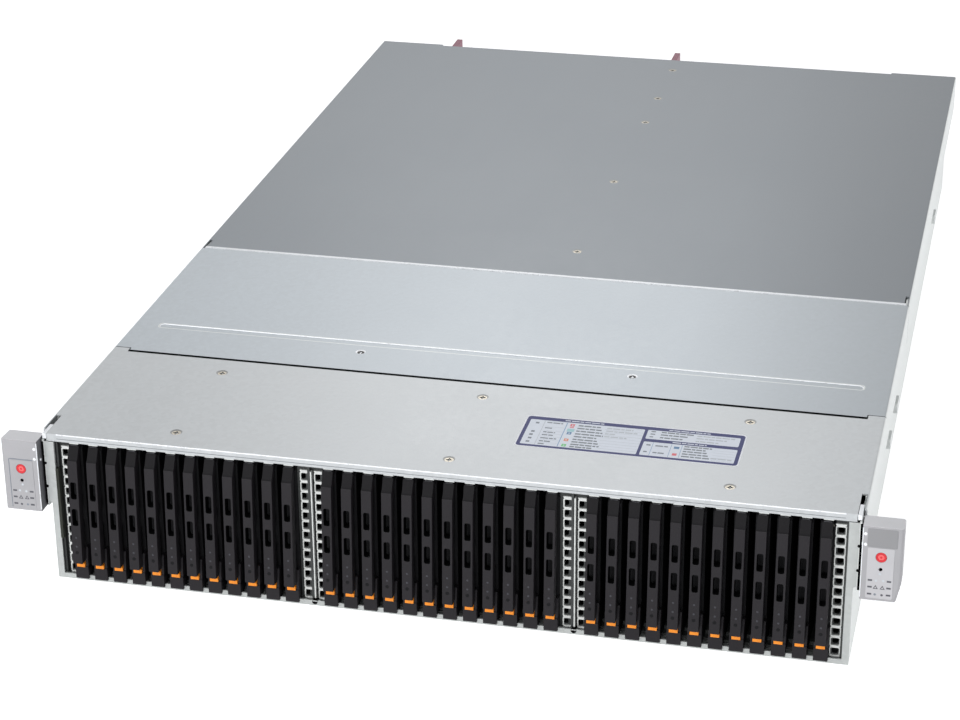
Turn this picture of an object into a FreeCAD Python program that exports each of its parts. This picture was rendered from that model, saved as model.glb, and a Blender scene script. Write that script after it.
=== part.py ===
import FreeCAD, Part
import os
import Sketcher

# A 2U rack server: 36 upright hot-swap drives behind the front face, a fan bay under the middle
# cover, and two server sleds with a power supply beside each at the back.
# Millimetres. X runs to the right as seen from the front, Y runs from front to back, Z is up.
# Each piece is drawn with Y = 0 at the chassis front face, and its placement moves it back by
# half the length, so that the origin lies in the middle of the chassis floor's underside.

doc = FreeCAD.newDocument("rack_server")
dims = doc.addObject("Spreadsheet::Sheet", "dims")


class Size:
    """A length written as a formula on the sheet, together with its present value."""

    def __init__(self, text, value):
        self.text = text
        self.value = value

    def __add__(self, other):
        other = as_size(other)
        return Size("(%s + %s)" % (self.text, other.text), self.value + other.value)

    def __sub__(self, other):
        other = as_size(other)
        return Size("(%s - %s)" % (self.text, other.text), self.value - other.value)

    def __mul__(self, other):
        other = as_size(other)
        return Size("(%s * %s)" % (self.text, other.text), self.value * other.value)

    def __truediv__(self, other):
        other = as_size(other)
        return Size("(%s / %s)" % (self.text, other.text), self.value / other.value)

    def __rsub__(self, other):
        return as_size(other) - self

    def __neg__(self):
        return as_size(0) - self

    __radd__ = __add__
    __rmul__ = __mul__


def as_size(number):
    """Plain numbers join a formula as they are."""
    if isinstance(number, Size):
        return number
    return Size("(%s)" % repr(float(number)), float(number))


def dimension(alias, value, note):
    """Writes one driving dimension on the sheet and returns it."""
    row = dimension.rows = getattr(dimension, "rows", 0) + 1
    dims.set("A%d" % row, note)
    dims.set("B%d" % row, str(value))
    dims.setAlias("B%d" % row, alias)
    return Size("dims." + alias, float(value))


# Chassis
body_width = dimension("body_width", 437, "width over the covers")
body_height = dimension("body_height", 87, "height of the closed chassis")
body_length = dimension("body_length", 700, "front face to the rear edge of the roof")
wall = dimension("wall", 1.2, "sheet of the base and the cage")
cover_sheet = dimension("cover_sheet", 1.0, "sheet of the three covers")
play = dimension("play", 0.3, "gap left between pieces that must slide or lift")
side_recess = dimension("side_recess", 4.5, "how far the lower side walls stand in for the rails")
shoulder_drop = dimension("shoulder_drop", 29, "roof to where the side wall steps out")
skirt_depth = dimension("skirt_depth", 25, "how far the covers fold down the sides")
lip_depth = dimension("lip_depth", 4.4, "how far the front cover folds down the front")
flange_width = dimension("flange_width", 3.6, "front flange beside the drive cage")
roof_overhang = dimension("roof_overhang", 2.5, "roof past the base at the two rear corners")
rail_hook_depth = dimension("rail_hook_depth", 4.2, "hooks for the slide rails")
rail_hook_length = dimension("rail_hook_length", 12, "hooks for the slide rails")
rail_hook_height = dimension("rail_hook_height", 43, "height of the hooks above the base")
rail_screw_radius = dimension("rail_screw_radius", 2.1, "screw holes for the slide rails")
rail_screw_height = dimension("rail_screw_height", 30, "height of those holes")
rail_screw_setback = dimension("rail_screw_setback", 120, "first of those holes")
rail_screw_spacing = dimension("rail_screw_spacing", 130, "distance between those holes")
bend_radius = dimension("bend_radius", 1.2, "outside radius of the cover bends")

# Covers
front_length = dimension("front_length", 113.5, "front cover")
fan_bay_length = dimension("fan_bay_length", 153.5, "middle cover over the fans")
seam = dimension("seam", 0.6, "gap between covers")
seam_step = dimension("seam_step", 2.8, "the middle cover's tongue past the seam")
seam_step_side = dimension("seam_step_side", 9.5, "tongue's distance from the chassis side")
bead_width = dimension("bead_width", 5.5, "pressed stiffening bead")
bead_depth = dimension("bead_depth", 0.5, "pressed stiffening bead")
bead_setback = dimension("bead_setback", 34, "bead behind the seam")
bead_margin = dimension("bead_margin", 14.5, "bead's end to the chassis side")

# Drives and their cage
drive_pitch = dimension("drive_pitch", 10.8, "spacing of the drives")
group_gap = dimension("group_gap", 10.7, "extra space between groups of drives")
drive_thickness = dimension("drive_thickness", 7.4, "drive module")
drive_clearance = dimension("drive_clearance", 11, "chassis height above that of a drive")
drive_length = dimension("drive_length", 108, "drive module behind its front plate")
drive_floor = dimension("drive_floor", 3.2, "underside of a drive above the base")
face_setback = dimension("face_setback", 3.6, "drive front plate behind the front face")
toe_height = dimension("toe_height", 7.4, "drive's foot below its latch")
toe_reach = dimension("toe_reach", 1.2, "drive's foot in front of the chassis")
latch_height = dimension("latch_height", 2.6, "latch button")
latch_reach = dimension("latch_reach", 2.7, "latch button, front to back")
latch_width = dimension("latch_width", 5.6, "latch button")
lever_width = dimension("lever_width", 5.5, "ejector lever")
lever_foot = dimension("lever_foot", 11.5, "lower end of the lever")
lever_reach = dimension("lever_reach", 4.5, "lever's foot in front of the chassis")
lever_depth = dimension("lever_depth", 3.8, "lever, front to back")
window_width = dimension("window_width", 2.8, "lever windows")
window_height = dimension("window_height", 9.6, "lever windows")
hinge_depth = dimension("hinge_depth", 5.6, "lever pin behind the front face")
hinge_radius = dimension("hinge_radius", 0.8, "lever pin")
vent_setback = dimension("vent_setback", 5, "vent strips behind the front face")
vent_width = dimension("vent_width", 3.2, "vent hole")
vent_height = dimension("vent_height", 3.5, "vent hole")
vent_foot = dimension("vent_foot", 5.0, "middle of the lowest vent hole")
strip_width = dimension("strip_width", 6.1, "one vent strip")
board = dimension("board", 2.4, "backplane board")
guide_rib = dimension("guide_rib", 1.8, "height of the ribs between drives")

# Ears
ear_width = dimension("ear_width", 18.8, "control panel ear")
ear_gap = dimension("ear_gap", 0.7, "ear beside the chassis")
ear_reach = dimension("ear_reach", 6.4, "ear in front of the chassis")
ear_depth = dimension("ear_depth", 11.7, "ear, front to back")
ear_round = dimension("ear_round", 3.0, "outer corner of the ears")
bracket_sheet = dimension("bracket_sheet", 1.2, "ear bracket")
bracket_slot = dimension("bracket_slot", 22.5, "bracket's leg along the chassis")
button_radius = dimension("button_radius", 2.7, "power button")
button_depth = dimension("button_depth", 4.0, "power button")
button_travel = dimension("button_travel", 0.8, "power button")

# Fans
fan_depth = dimension("fan_depth", 38, "fan frame along the air")
fan_setback = dimension("fan_setback", 185, "fans behind the front face")
fan_bore = dimension("fan_bore", 38, "radius of the frame's bore")
fan_hub = dimension("fan_hub", 17, "radius of the rotor's hub")
fan_tip_gap = dimension("fan_tip_gap", 1.2, "blade tip to bore")
blade_sheet = dimension("blade_sheet", 1.6, "fan blade")
stator_depth = dimension("stator_depth", 5, "motor mount and its struts")

# Rear bays
bay_front = dimension("bay_front", 285, "front end of the centre wall")
centre_flange = dimension("centre_flange", 20, "flange on the centre wall's top")
psu_width = dimension("psu_width", 39.8, "power supply")
psu_length = dimension("psu_length", 185, "power supply")
inlet_width = dimension("inlet_width", 17, "mains inlet cavity")
inlet_height = dimension("inlet_height", 25, "mains inlet cavity")
inlet_depth = dimension("inlet_depth", 15, "mains inlet cavity")
inlet_centre = dimension("inlet_centre", 20, "inlet above the supply's underside")
sled_length = dimension("sled_length", 405, "server sled")
sled_sheet = dimension("sled_sheet", 1.0, "server sled tray")
sled_wall = dimension("sled_wall", 22, "height of the tray's side walls")
panel_setback = dimension("panel_setback", 5, "rear panel in front of the roof's edge")
sink_width = dimension("sink_width", 78, "processor heat sink")
sink_length = dimension("sink_length", 108, "processor heat sink")
memory_length = dimension("memory_length", 133, "memory module")
memory_height = dimension("memory_height", 31, "memory module")
handle_reach = dimension("handle_reach", 28, "pull handles behind their panel")
handle_bar = dimension("handle_bar", 6, "section of the pull handles")
tab_width = dimension("tab_width", 6.6, "sled release tab")
tab_reach = dimension("tab_reach", 31, "release tab behind its pin")
tab_foot = dimension("tab_foot", 44, "lower end of the release tab")
tab_pin = dimension("tab_pin", 1.5, "release tab's pin radius")
tab_swing = dimension("tab_swing", 6.5, "pin behind the sled's panel")

DRIVES_IN_GROUP = 12
GROUPS = (-1, 0, 1)
VENT_ROWS = 13
BLADES = 7
SINK_FINS = 9
MEMORY_MODULES = 4

# Places worked out from the sizes above
half_width = body_width / 2
shoulder_height = body_height - shoulder_drop
drive_height = body_height - drive_clearance
fan_size = body_height - 7
fan_pitch = body_width / 4.2
psu_height = body_height - 13.5
panel_height = body_height - 4.5
sink_height = body_height - 23
tab_top = body_height - 5.5
ear_foot = body_height * 0.492
ear_height = body_height - 2.7 - ear_foot
button_height = ear_foot + 25.1
base_half = half_width - side_recess
bay_half = base_half - wall * 2 - psu_width - play * 2
ledge = half_width - cover_sheet - play
base_top = body_height - cover_sheet - play
rear_face = body_length - roof_overhang
seam_front = front_length - seam_step
rear_cover_front = front_length + fan_bay_length
group_pitch = drive_pitch * DRIVES_IN_GROUP + group_gap
group_edge = drive_pitch * (DRIVES_IN_GROUP - 1) / 2 + drive_thickness / 2
column_centre = group_pitch / 2
cage_half = base_half - flange_width
cage_back = face_setback + drive_length + play
drive_top = drive_floor + drive_height
lever_crease = drive_top - 5.9
lever_top = drive_top + 2
hinge_height = drive_top - 2.6
window_low = drive_height * 0.52
window_high = drive_height * 0.73
vent_pitch = (drive_height - 6.4) / (VENT_ROWS - 1)
cage_top = drive_top + 1.8
lip_foot = body_height - lip_depth
cage_lid = base_top - play
ear_inner = half_width + ear_gap
brace_front = front_length + 13
brace_back = brace_front + 18
fan_centre_height = wall + play + fan_size / 2
fan_xs = [fan_pitch * (i - 1.5) for i in range(4)]
psu_floor = wall + play
psu_centre = (bay_half + wall + base_half - wall) / 2
bay_wall_front = rear_face - psu_length - 30
sled_floor = wall + play
panel_back = body_length - panel_setback
sled_inner = wall / 2 + play * 2
sled_outer = bay_half - play * 2

PLANES = {"XY": "XY_Plane", "XZ": "XZ_Plane", "YZ": "YZ_Plane"}
parts = []
doc.recompute()


def bind(item, prop, value):
    """Ties a property to a formula on the sheet."""
    item.setExpression(prop, as_size(value).text)


def new_body(name):
    """Starts one solid piece."""
    body = doc.addObject("PartDesign::Body", name)
    body.Label = name
    return body


def origin_item(body, role):
    """Finds a plane or axis of the body's own origin."""
    for item in body.Origin.OriginFeatures:
        if item.Role == role:
            return item
    raise ValueError(role)


def rect(x0, y0, x1, y1):
    """A rectangle's corners, for a sketch."""
    return [(x0, y0), (x1, y0), (x1, y1), (x0, y1)]


def mirrored(corners):
    """The same outline on the other side of the centre line."""
    return [(-as_size(x), y) for x, y in corners]


def disc(x, y, radius):
    """A circle, for a sketch."""
    return (x, y, radius)


def fix_point(sketch, geometry, point, x, y):
    """Holds a sketch point at a formula's place."""
    for kind, place in (("DistanceX", x), ("DistanceY", y)):
        place = as_size(place)
        number = sketch.addConstraint(
            Sketcher.Constraint(kind, -1, 1, geometry, point, place.value))
        sketch.setExpression("Constraints[%d]" % number, place.text)


def draw_polygon(sketch, corners):
    """Draws a closed outline of straight edges."""
    first = sketch.GeometryCount
    count = len(corners)
    points = [FreeCAD.Vector(as_size(x).value, as_size(y).value, 0) for x, y in corners]
    sketch.addGeometry([Part.LineSegment(points[i], points[(i + 1) % count]) for i in range(count)])
    for i in range(count):
        following = first + (i + 1) % count
        sketch.addConstraint(Sketcher.Constraint("Coincident", first + i, 2, following, 1))
    for i in range(count):
        fix_point(sketch, first + i, 1, corners[i][0], corners[i][1])


def draw_circle(sketch, x, y, radius):
    """Draws a circle."""
    radius = as_size(radius)
    middle = FreeCAD.Vector(as_size(x).value, as_size(y).value, 0)
    up = FreeCAD.Vector(0, 0, 1)
    circle = sketch.addGeometry(Part.Circle(middle, up, radius.value))
    fix_point(sketch, circle, 3, x, y)
    number = sketch.addConstraint(Sketcher.Constraint("Radius", circle, radius.value))
    sketch.setExpression("Constraints[%d]" % number, radius.text)


def new_sketch(body, name, plane, start, outlines):
    """Draws outlines on a plane parallel to one of the body's own, at a distance from it."""
    sketch = body.newObject("Sketcher::SketchObject", name)
    sketch.AttachmentSupport = [(origin_item(body, PLANES[plane]), "")]
    sketch.MapMode = "FlatFace"
    offset = as_size(start)
    if plane == "XZ":
        offset = -offset
    bind(sketch, "AttachmentOffset.Base.z", offset)
    for outline in outlines:
        if isinstance(outline, tuple):
            draw_circle(sketch, *outline)
        else:
            draw_polygon(sketch, outline)
    return sketch


def add(body, name, plane, start, length, *outlines):
    """Pads outlines towards the positive side of the plane."""
    sketch = new_sketch(body, name + "_sketch", plane, start, outlines)
    pad = body.newObject("PartDesign::Pad", name)
    pad.Profile = sketch
    bind(pad, "Length", length)
    pad.Reversed = plane == "XZ"
    return pad


def cut(body, name, plane, start, length, *outlines):
    """Pockets outlines towards the positive side of the plane."""
    sketch = new_sketch(body, name + "_sketch", plane, start, outlines)
    pocket = body.newObject("PartDesign::Pocket", name)
    pocket.Profile = sketch
    bind(pocket, "Length", length)
    pocket.Reversed = plane != "XZ"
    return pocket


def repeat(body, name, original, axis, span, count):
    """Repeats a feature along one of the body's axes, over a span."""
    pattern = body.newObject("PartDesign::LinearPattern", name)
    pattern.Originals = [original]
    pattern.Direction = (origin_item(body, axis), [""])
    bind(pattern, "Length", span)
    pattern.Occurrences = count
    body.Tip = pattern
    return pattern


def round_edges(body, name, radius, wanted):
    """Rounds the edges of the body's last feature that a test picks."""
    doc.recompute()
    base = body.Tip
    names = ["Edge%d" % (i + 1) for i, edge in enumerate(base.Shape.Edges) if wanted(edge)]
    if not names:
        raise ValueError("no edges to round on " + body.Name)
    fillet = body.newObject("PartDesign::Fillet", name)
    fillet.Base = (base, names)
    bind(fillet, "Radius", radius)
    return fillet


def group(name, members):
    """Puts separate solids into one piece."""
    node = doc.addObject("Part::Compound", name)
    node.Links = members
    return node


def place(item, x=0, y=0, z=0):
    """Keeps an object as a sub-part and moves it to its place in the server."""
    bind(item, "Placement.Base.x", x)
    bind(item, "Placement.Base.y", as_size(y) - body_length / 2)
    bind(item, "Placement.Base.z", z)
    item.Label = item.Name
    parts.append(item)
    return item


def both(outline):
    """An outline on the right and its mirror image on the left."""
    return outline, mirrored(outline)


def at_edge(edge, axis, x=None, y=None, z=None, near=0.01):
    """True for a straight edge along an axis whose middle lies at the given coordinates."""
    direction = edge.Vertexes[-1].Point - edge.Vertexes[0].Point
    if len(edge.Vertexes) != 2 or direction.Length < near:
        return False
    if abs(abs(direction.dot(axis)) / direction.Length - 1) > near:
        return False
    middle = (edge.Vertexes[-1].Point + edge.Vertexes[0].Point) / 2
    wanted = ((abs(middle.x), x), (middle.y, y), (middle.z, z))
    return all(goal is None or abs(found - as_size(goal).value) < near for found, goal in wanted)


X_AXIS = FreeCAD.Vector(1, 0, 0)
Y_AXIS = FreeCAD.Vector(0, 1, 0)
Z_AXIS = FreeCAD.Vector(0, 0, 1)


# Chassis base: one folded pan with stepped side walls, and the walls welded into it
def make_chassis_base():
    body = new_body("chassis_base")
    rise = ledge - base_half
    right = [(base_half, 0), (base_half, shoulder_height), (ledge, shoulder_height + rise),
             (ledge, base_top), (ledge - wall, base_top),
             (ledge - wall, shoulder_height + rise + wall / 2),
             (base_half - wall, shoulder_height + wall / 2), (base_half - wall, wall)]
    outline = right + [(-x, y) for x, y in reversed(right)]
    add(body, "pan", "XZ", 0, rear_face, outline)
    notch = rect(base_half - wall * 2, shoulder_height - wall, half_width, body_height)
    cut(body, "ear_notch", "XZ", -1, bracket_slot + play + 1, *both(notch))
    flange = rect(cage_half, 0, base_half, lip_foot - play)
    add(body, "front_flange", "XZ", 0, wall, *both(flange))
    sill = rect(-base_half, 0, base_half, drive_floor - play)
    add(body, "front_sill", "XZ", 0, wall, sill)
    bay_wall = rect(bay_half, 0, bay_half + wall, base_top)
    add(body, "bay_wall", "XZ", bay_wall_front, rear_face - bay_wall_front, *both(bay_wall))
    over_psu = rect(bay_half, psu_floor + psu_height + play, base_half, base_top)
    add(body, "rear_strip", "XZ", rear_face - wall, wall, *both(over_psu))
    centre = [(-wall / 2, 0), (wall / 2, 0), (wall / 2, base_top - wall),
              (centre_flange, base_top - wall), (centre_flange, base_top), (-wall / 2, base_top)]
    add(body, "centre_wall", "XZ", bay_front, rear_face - bay_front, centre)
    brace = rect(-ledge + wall / 2, base_top - wall, ledge - wall / 2, base_top)
    add(body, "fan_brace", "XZ", brace_front, brace_back - brace_front, brace)
    hook_low = rail_hook_height - rail_hook_length / 4
    hook_high = rail_hook_height + rail_hook_length / 4
    hooks = [rect(y, hook_low, rail_hook_length + y, hook_high) for y in (170, 217, 521)]
    add(body, "rail_hooks_right", "YZ", base_half, rail_hook_depth, *hooks)
    add(body, "rail_hooks_left", "YZ", -base_half - rail_hook_depth, rail_hook_depth, *hooks)
    spots = (rail_screw_setback, rail_screw_setback + rail_screw_spacing)
    holes = [disc(y, rail_screw_height, rail_screw_radius) for y in spots]
    cut(body, "rail_holes_right", "YZ", base_half - wall - 1, wall + 2, *holes)
    cut(body, "rail_holes_left", "YZ", -base_half - 1, wall + 2, *holes)
    place(body)


def cover_profile():
    """Cross-section of a cover: the roof sheet folded down both sides."""
    inside = half_width - cover_sheet
    under = body_height - cover_sheet
    foot = body_height - skirt_depth
    return [(-half_width, foot), (-inside, foot), (-inside, under), (inside, under),
            (inside, foot), (half_width, foot), (half_width, body_height), (-half_width, body_height)]


def round_cover(body):
    """Rounds the bends along a cover's two sides."""
    round_edges(body, body.Name + "_bend", bend_radius,
                lambda edge: at_edge(edge, Y_AXIS, x=half_width, z=body_height))


def make_front_cover():
    body = new_body("front_cover")
    add(body, "front_roof", "XZ", 0, front_length, cover_profile())
    round_cover(body)
    lip = rect(-half_width + cover_sheet * 2, lip_foot, half_width - cover_sheet * 2, body_height)
    add(body, "front_lip", "XZ", 0, cover_sheet, lip)
    tongue = half_width - seam_step_side
    cut(body, "tongue_notch", "XY", 0, body_height + 1,
        rect(-tongue, seam_front, tongue, front_length + 1))
    slot = rect(base_half + play, -1, ledge + play / 2, bracket_slot + play)
    cut(body, "bracket_slot", "XY", 0, body_height + 1, *both(slot))
    skirt = rect(ledge + play / 2, -1, half_width + 1, ear_depth - ear_reach + bracket_sheet + play)
    cut(body, "skirt_notch", "XY", 0, body_height + 1, *both(skirt))
    place(body)


def make_fan_cover():
    body = new_body("fan_cover")
    front = front_length + seam
    add(body, "fan_roof", "XZ", front, rear_cover_front - seam - front, cover_profile())
    round_cover(body)
    tongue = half_width - seam_step_side - seam
    add(body, "tongue", "XY", body_height - cover_sheet, cover_sheet,
        rect(-tongue, seam_front + seam, tongue, front + 1))
    bead_y = front_length + bead_setback
    end = half_width - bead_margin - bead_width / 2
    side = bead_width / 2
    bevel = bead_width * 0.3
    outline = [(-end, bead_y - side), (end, bead_y - side), (end + bevel, bead_y - side + bevel),
               (end + bevel, bead_y + side - bevel), (end, bead_y + side), (-end, bead_y + side),
               (-end - bevel, bead_y + side - bevel), (-end - bevel, bead_y - side + bevel)]
    add(body, "bead_back", "XY", body_height - cover_sheet - bead_depth, bead_depth, outline)
    groove = [(x, y) for x, y in outline]
    cut(body, "bead_groove", "XY", body_height - bead_depth, bead_depth + 1, groove)
    place(body)


def make_rear_cover():
    body = new_body("rear_cover")
    add(body, "rear_roof", "XZ", rear_cover_front, body_length - rear_cover_front, cover_profile())
    round_cover(body)
    cut(body, "rear_step", "XY", 0, body_height + 1,
        rect(-bay_half, body_length - roof_overhang, bay_half, body_length + 1))
    slot = rect(base_half + 1.5, rear_cover_front - 1, ledge + play / 2, rear_cover_front + 13)
    cut(body, "corner_slot", "XY", body_height - cover_sheet - 1, cover_sheet + 2, *both(slot))
    place(body)


# Drive cage: vent strips, guide floor and ceiling, dividers and lid
def make_drive_cage():
    body = new_body("drive_cage")
    floor = wall + play
    half_strips = strip_width + wall / 2 + play
    left_end = group_pitch + group_edge + play
    lid = rect(-cage_half, cage_lid - wall, cage_half, cage_lid)
    add(body, "cage_lid", "XZ", cover_sheet + play * 2, cage_back - cover_sheet - play * 2, lid)
    walls = [rect(cage_half - wall, floor, cage_half, cage_lid)]
    walls += [rect(column_centre - wall / 2, floor, column_centre + wall / 2, cage_lid)]
    outlines = [outline for item in walls for outline in both(item)]
    wall_front = vent_setback - 3
    add(body, "cage_walls", "XZ", wall_front, cage_back - wall_front, *outlines)
    ceiling = rect(-cage_half, drive_top + play, cage_half, drive_top + play + wall)
    lug_room = hinge_depth + 3.6
    add(body, "guide_ceiling", "XZ", lug_room, cage_back - lug_room, ceiling)
    bottom = rect(-cage_half, floor, cage_half, drive_floor - play)
    add(body, "guide_floor", "XZ", vent_setback + 1.5, cage_back - vent_setback - 1.5, bottom)
    strips = [rect(column_centre - half_strips, floor, column_centre + half_strips, cage_top),
              rect(left_end, floor, cage_half, cage_top)]
    outlines = [outline for item in strips for outline in both(item)]
    add(body, "vent_strips", "XZ", vent_setback, wall, *outlines)
    offset = wall / 2 + play + strip_width / 2
    columns = [column_centre - offset, column_centre + offset, left_end + strip_width / 2 - play]
    holes = []
    for x in columns:
        hole = rect(x - vent_width / 2, vent_foot - vent_height / 2,
                    x + vent_width / 2, vent_foot + vent_height / 2)
        holes += both(hole)
    pocket = cut(body, "vent_hole", "XZ", vent_setback - 1, wall + 2, *holes)
    repeat(body, "vent_holes", pocket, "Z_Axis", vent_pitch * (VENT_ROWS - 1), VENT_ROWS)
    gap = drive_pitch - drive_thickness - play * 2
    start = -group_pitch - drive_pitch * (DRIVES_IN_GROUP / 2 - 1)
    ribs = [rect(start + group_pitch * i - gap / 2, drive_floor - play - 0.1,
                 start + group_pitch * i + gap / 2, drive_floor + guide_rib) for i in range(3)]
    rib = add(body, "guide_rib", "XZ", vent_setback + 6, cage_back - vent_setback - 8, *ribs)
    repeat(body, "guide_ribs", rib, "X_Axis", drive_pitch * (DRIVES_IN_GROUP - 2), DRIVES_IN_GROUP - 1)
    place(body)


def make_backplane():
    body = new_body("backplane")
    edge = cage_half - wall
    add(body, "board_sheet", "XZ", cage_back, board, rect(-edge, wall + play, edge, cage_lid))
    first = -group_pitch - drive_pitch * (DRIVES_IN_GROUP / 2 - 1)
    gap = drive_pitch - drive_thickness
    slots = [rect(first + group_pitch * i - gap / 2, drive_floor + drive_height * 0.3,
                  first + group_pitch * i + gap / 2, drive_top - drive_height * 0.12)
             for i in range(3)]
    slot = cut(body, "air_slot", "XZ", cage_back - 1, board + 2, *slots)
    repeat(body, "air_slots", slot, "X_Axis", drive_pitch * (DRIVES_IN_GROUP - 2), DRIVES_IN_GROUP - 1)
    place(body)


# One drive: carrier with its module, ejector lever and latch button
def make_carrier(name, hinged):
    body = new_body(name)
    side = drive_thickness / 2
    back = face_setback + drive_length
    step = latch_reach - lever_reach / 2 + 0.3
    chest = toe_height + latch_height + 2
    outline = [(-toe_reach, play), (-play, play), (-play, drive_floor), (back, drive_floor),
               (back, drive_top),
               (face_setback + 1, drive_top), (face_setback, drive_top - 1.5),
               (face_setback, chest + 3), (step, chest), (step, toe_height), (-toe_reach, toe_height)]
    add(body, name + "_shell", "YZ", -side, drive_thickness, outline)
    if hinged:
        cheek = lever_width / 2 + play
        slot = rect(-cheek, hinge_height - 3, cheek, drive_top + 1)
        cut(body, name + "_slot", "XZ", 0, hinge_depth + 2.9, slot)
        pin = disc(hinge_depth, hinge_height, hinge_radius)
        add(body, name + "_pin", "YZ", -cheek - 0.2, cheek * 2 + 0.4, pin)
    return body


def make_lever(name, hinged):
    body = new_body(name)
    side = lever_width / 2
    lean = lever_reach / 2
    front_high = -lever_reach + lean
    rest = face_setback - play if hinged else face_setback
    outline = [(-lever_reach, lever_foot), (-lever_reach + lever_depth, lever_foot),
               (front_high + lever_depth, lever_crease - 4), (rest, lever_crease),
               (rest, lever_top), (rest - 1.6, lever_top), (front_high + 0.6, lever_crease + 1),
               (front_high, lever_crease)]
    add(body, name + "_bar", "YZ", -side, lever_width, outline)
    half = window_width / 2
    windows = []
    for middle in (window_low, window_high):
        low = middle - window_height / 2
        windows.append(rect(-half, low, half, low + window_height))
    cut(body, name + "_windows", "XZ", -lever_reach - 1, lever_depth + lean + 2, *windows)
    if hinged:
        reach = hinge_depth + 2
        lug = [(2, hinge_height - 1.8), (hinge_depth + 0.8, hinge_height - 1.8),
               (reach, hinge_height - 0.8), (reach, hinge_height + 0.6),
               (hinge_depth + 0.8, hinge_height + 1.8), (2, hinge_height + 1.8)]
        add(body, name + "_lug", "YZ", -side, lever_width, lug)
        bore = disc(hinge_depth, hinge_height, hinge_radius + 0.05)
        cut(body, name + "_bore", "YZ", -side - 1, lever_width + 2, bore)
    return body


def make_latch(name):
    body = new_body(name)
    step = latch_reach - lever_reach / 2 + 0.3
    half = latch_width / 2
    add(body, name + "_tab", "YZ", -half, latch_width,
        [(step - latch_reach, toe_height), (step, toe_height), (step, toe_height + latch_height),
         (step - latch_reach + 0.7, toe_height + latch_height), (step - latch_reach, toe_height + 1.9)])
    return body


def drive_x(number):
    """Middle of a drive, counted from the left."""
    block, seat = divmod(number, DRIVES_IN_GROUP)
    return group_pitch * GROUPS[block] + drive_pitch * (seat - (DRIVES_IN_GROUP - 1) / 2)


def make_drives():
    carrier = make_carrier("carrier", False)
    lever = make_lever("lever", False)
    latch = make_latch("latch")
    last = DRIVES_IN_GROUP * len(GROUPS)
    for number in range(last - 1):
        place(group("drive_%02d" % (number + 1), [carrier, lever, latch]), drive_x(number))
    hinged = make_carrier("hinged_carrier", True)
    place(group("drive_%02d" % last, [hinged, latch]), drive_x(last - 1))
    place(make_lever("drive_lever", True), drive_x(last - 1))


# Ears
def make_ear_brackets():
    legs = []
    for name, side in (("right", 1), ("left", -1)):
        body = new_body("ear_bracket_" + name)
        inner = ledge - play - bracket_sheet
        back = ear_depth - ear_reach
        end = ear_inner + ear_width - 1
        neck = ear_inner + play
        outline = [(inner, -0.5), (inner + bracket_sheet, -0.5), (inner + bracket_sheet, back),
                   (end, back), (end, back + bracket_sheet), (neck, back + bracket_sheet),
                   (neck, back + bracket_sheet - play), (inner + bracket_sheet, back + bracket_sheet - play),
                   (inner + bracket_sheet, bracket_slot), (inner, bracket_slot)]
        if side < 0:
            outline = mirrored(outline)
        height = ear_height - 2
        add(body, body.Name + "_leg", "XY", ear_foot + 1, height, outline)
        spots = [rect(11, ear_foot + 3, 19, ear_foot + 12)]
        gap = inner - base_half
        start = base_half if side > 0 else -inner
        add(body, body.Name + "_spacer", "YZ", start, gap, *spots)
        legs.append(body)
    place(group("ear_brackets", legs))


def make_ear(name, side):
    body = new_body("ear_" + name)
    outer = ear_inner + ear_width
    front = -ear_reach
    back = ear_depth - ear_reach
    outline = rect(ear_inner, front, outer, back)
    if side < 0:
        outline = mirrored(outline)
    add(body, body.Name + "_shell", "XY", ear_foot, ear_height, outline)
    round_edges(body, body.Name + "_corner", ear_round,
                lambda edge: at_edge(edge, Z_AXIS, x=outer, y=front))
    middle = (ear_inner + ear_width * 0.44) * side
    cut(body, body.Name + "_button_hole", "XZ", front - 1, button_depth + button_travel + play + 1,
        disc(middle, button_height, button_radius + play / 3))
    place(body)
    button = new_body("power_button_" + name)
    add(button, button.Name + "_cap", "XZ", front, button_depth, disc(middle, button_height, button_radius))
    place(button)


# Fans
def make_fans():
    frame = new_body("fan_frame")
    half = fan_size / 2
    add(frame, "frame_block", "XZ", 0, fan_depth, rect(-half, -half, half, half))
    cut(frame, "frame_bore", "XZ", -1, fan_depth + 2, disc(0, 0, fan_bore))
    shell = (half + fan_bore) / 2
    waist = rect(shell, -half + 9, half + 1, half - 9)
    over = rect(-half + 9, shell, half - 9, half + 1)
    under = rect(-half + 9, -half - 1, half - 9, -shell)
    cut(frame, "frame_waist", "XZ", 5, fan_depth - 10, *both(waist), over, under)
    mount = fan_hub * 0.7
    add(frame, "stator", "XZ", fan_depth - stator_depth, stator_depth, rect(-mount, -mount, mount, mount))
    thin = blade_sheet
    struts = [rect(-fan_bore - 0.4, -thin, fan_bore + 0.4, thin)]
    add(frame, "strut_across", "XZ", fan_depth - stator_depth, stator_depth / 2, *struts)
    upright = [rect(-thin, -fan_bore - 0.4, thin, fan_bore + 0.4)]
    add(frame, "strut_upright", "XZ", fan_depth - stator_depth, stator_depth / 2, *upright)
    links = []
    for number, x in enumerate(fan_xs):
        link = doc.addObject("App::Link", "fan_frame_%d" % (number + 1))
        link.LinkedObject = frame
        bind(link, "Placement.Base.x", x)
        links.append(link)
    place(group("fan_frames", links), 0, fan_setback, fan_centre_height)
    for number, x in enumerate(fan_xs):
        rotor = make_rotor("fan_rotor_%d" % (number + 1))
        place(rotor, x, fan_setback, fan_centre_height)


def blade_section(chord, rise):
    """A blade's cross-section: a thin slanted plate along the air."""
    y0 = (fan_depth - stator_depth) / 2 - chord / 2
    return [(y0, -rise / 2), (y0 + blade_sheet, -rise / 2), (y0 + chord, rise / 2),
            (y0 + chord - blade_sheet, rise / 2)]


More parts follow.
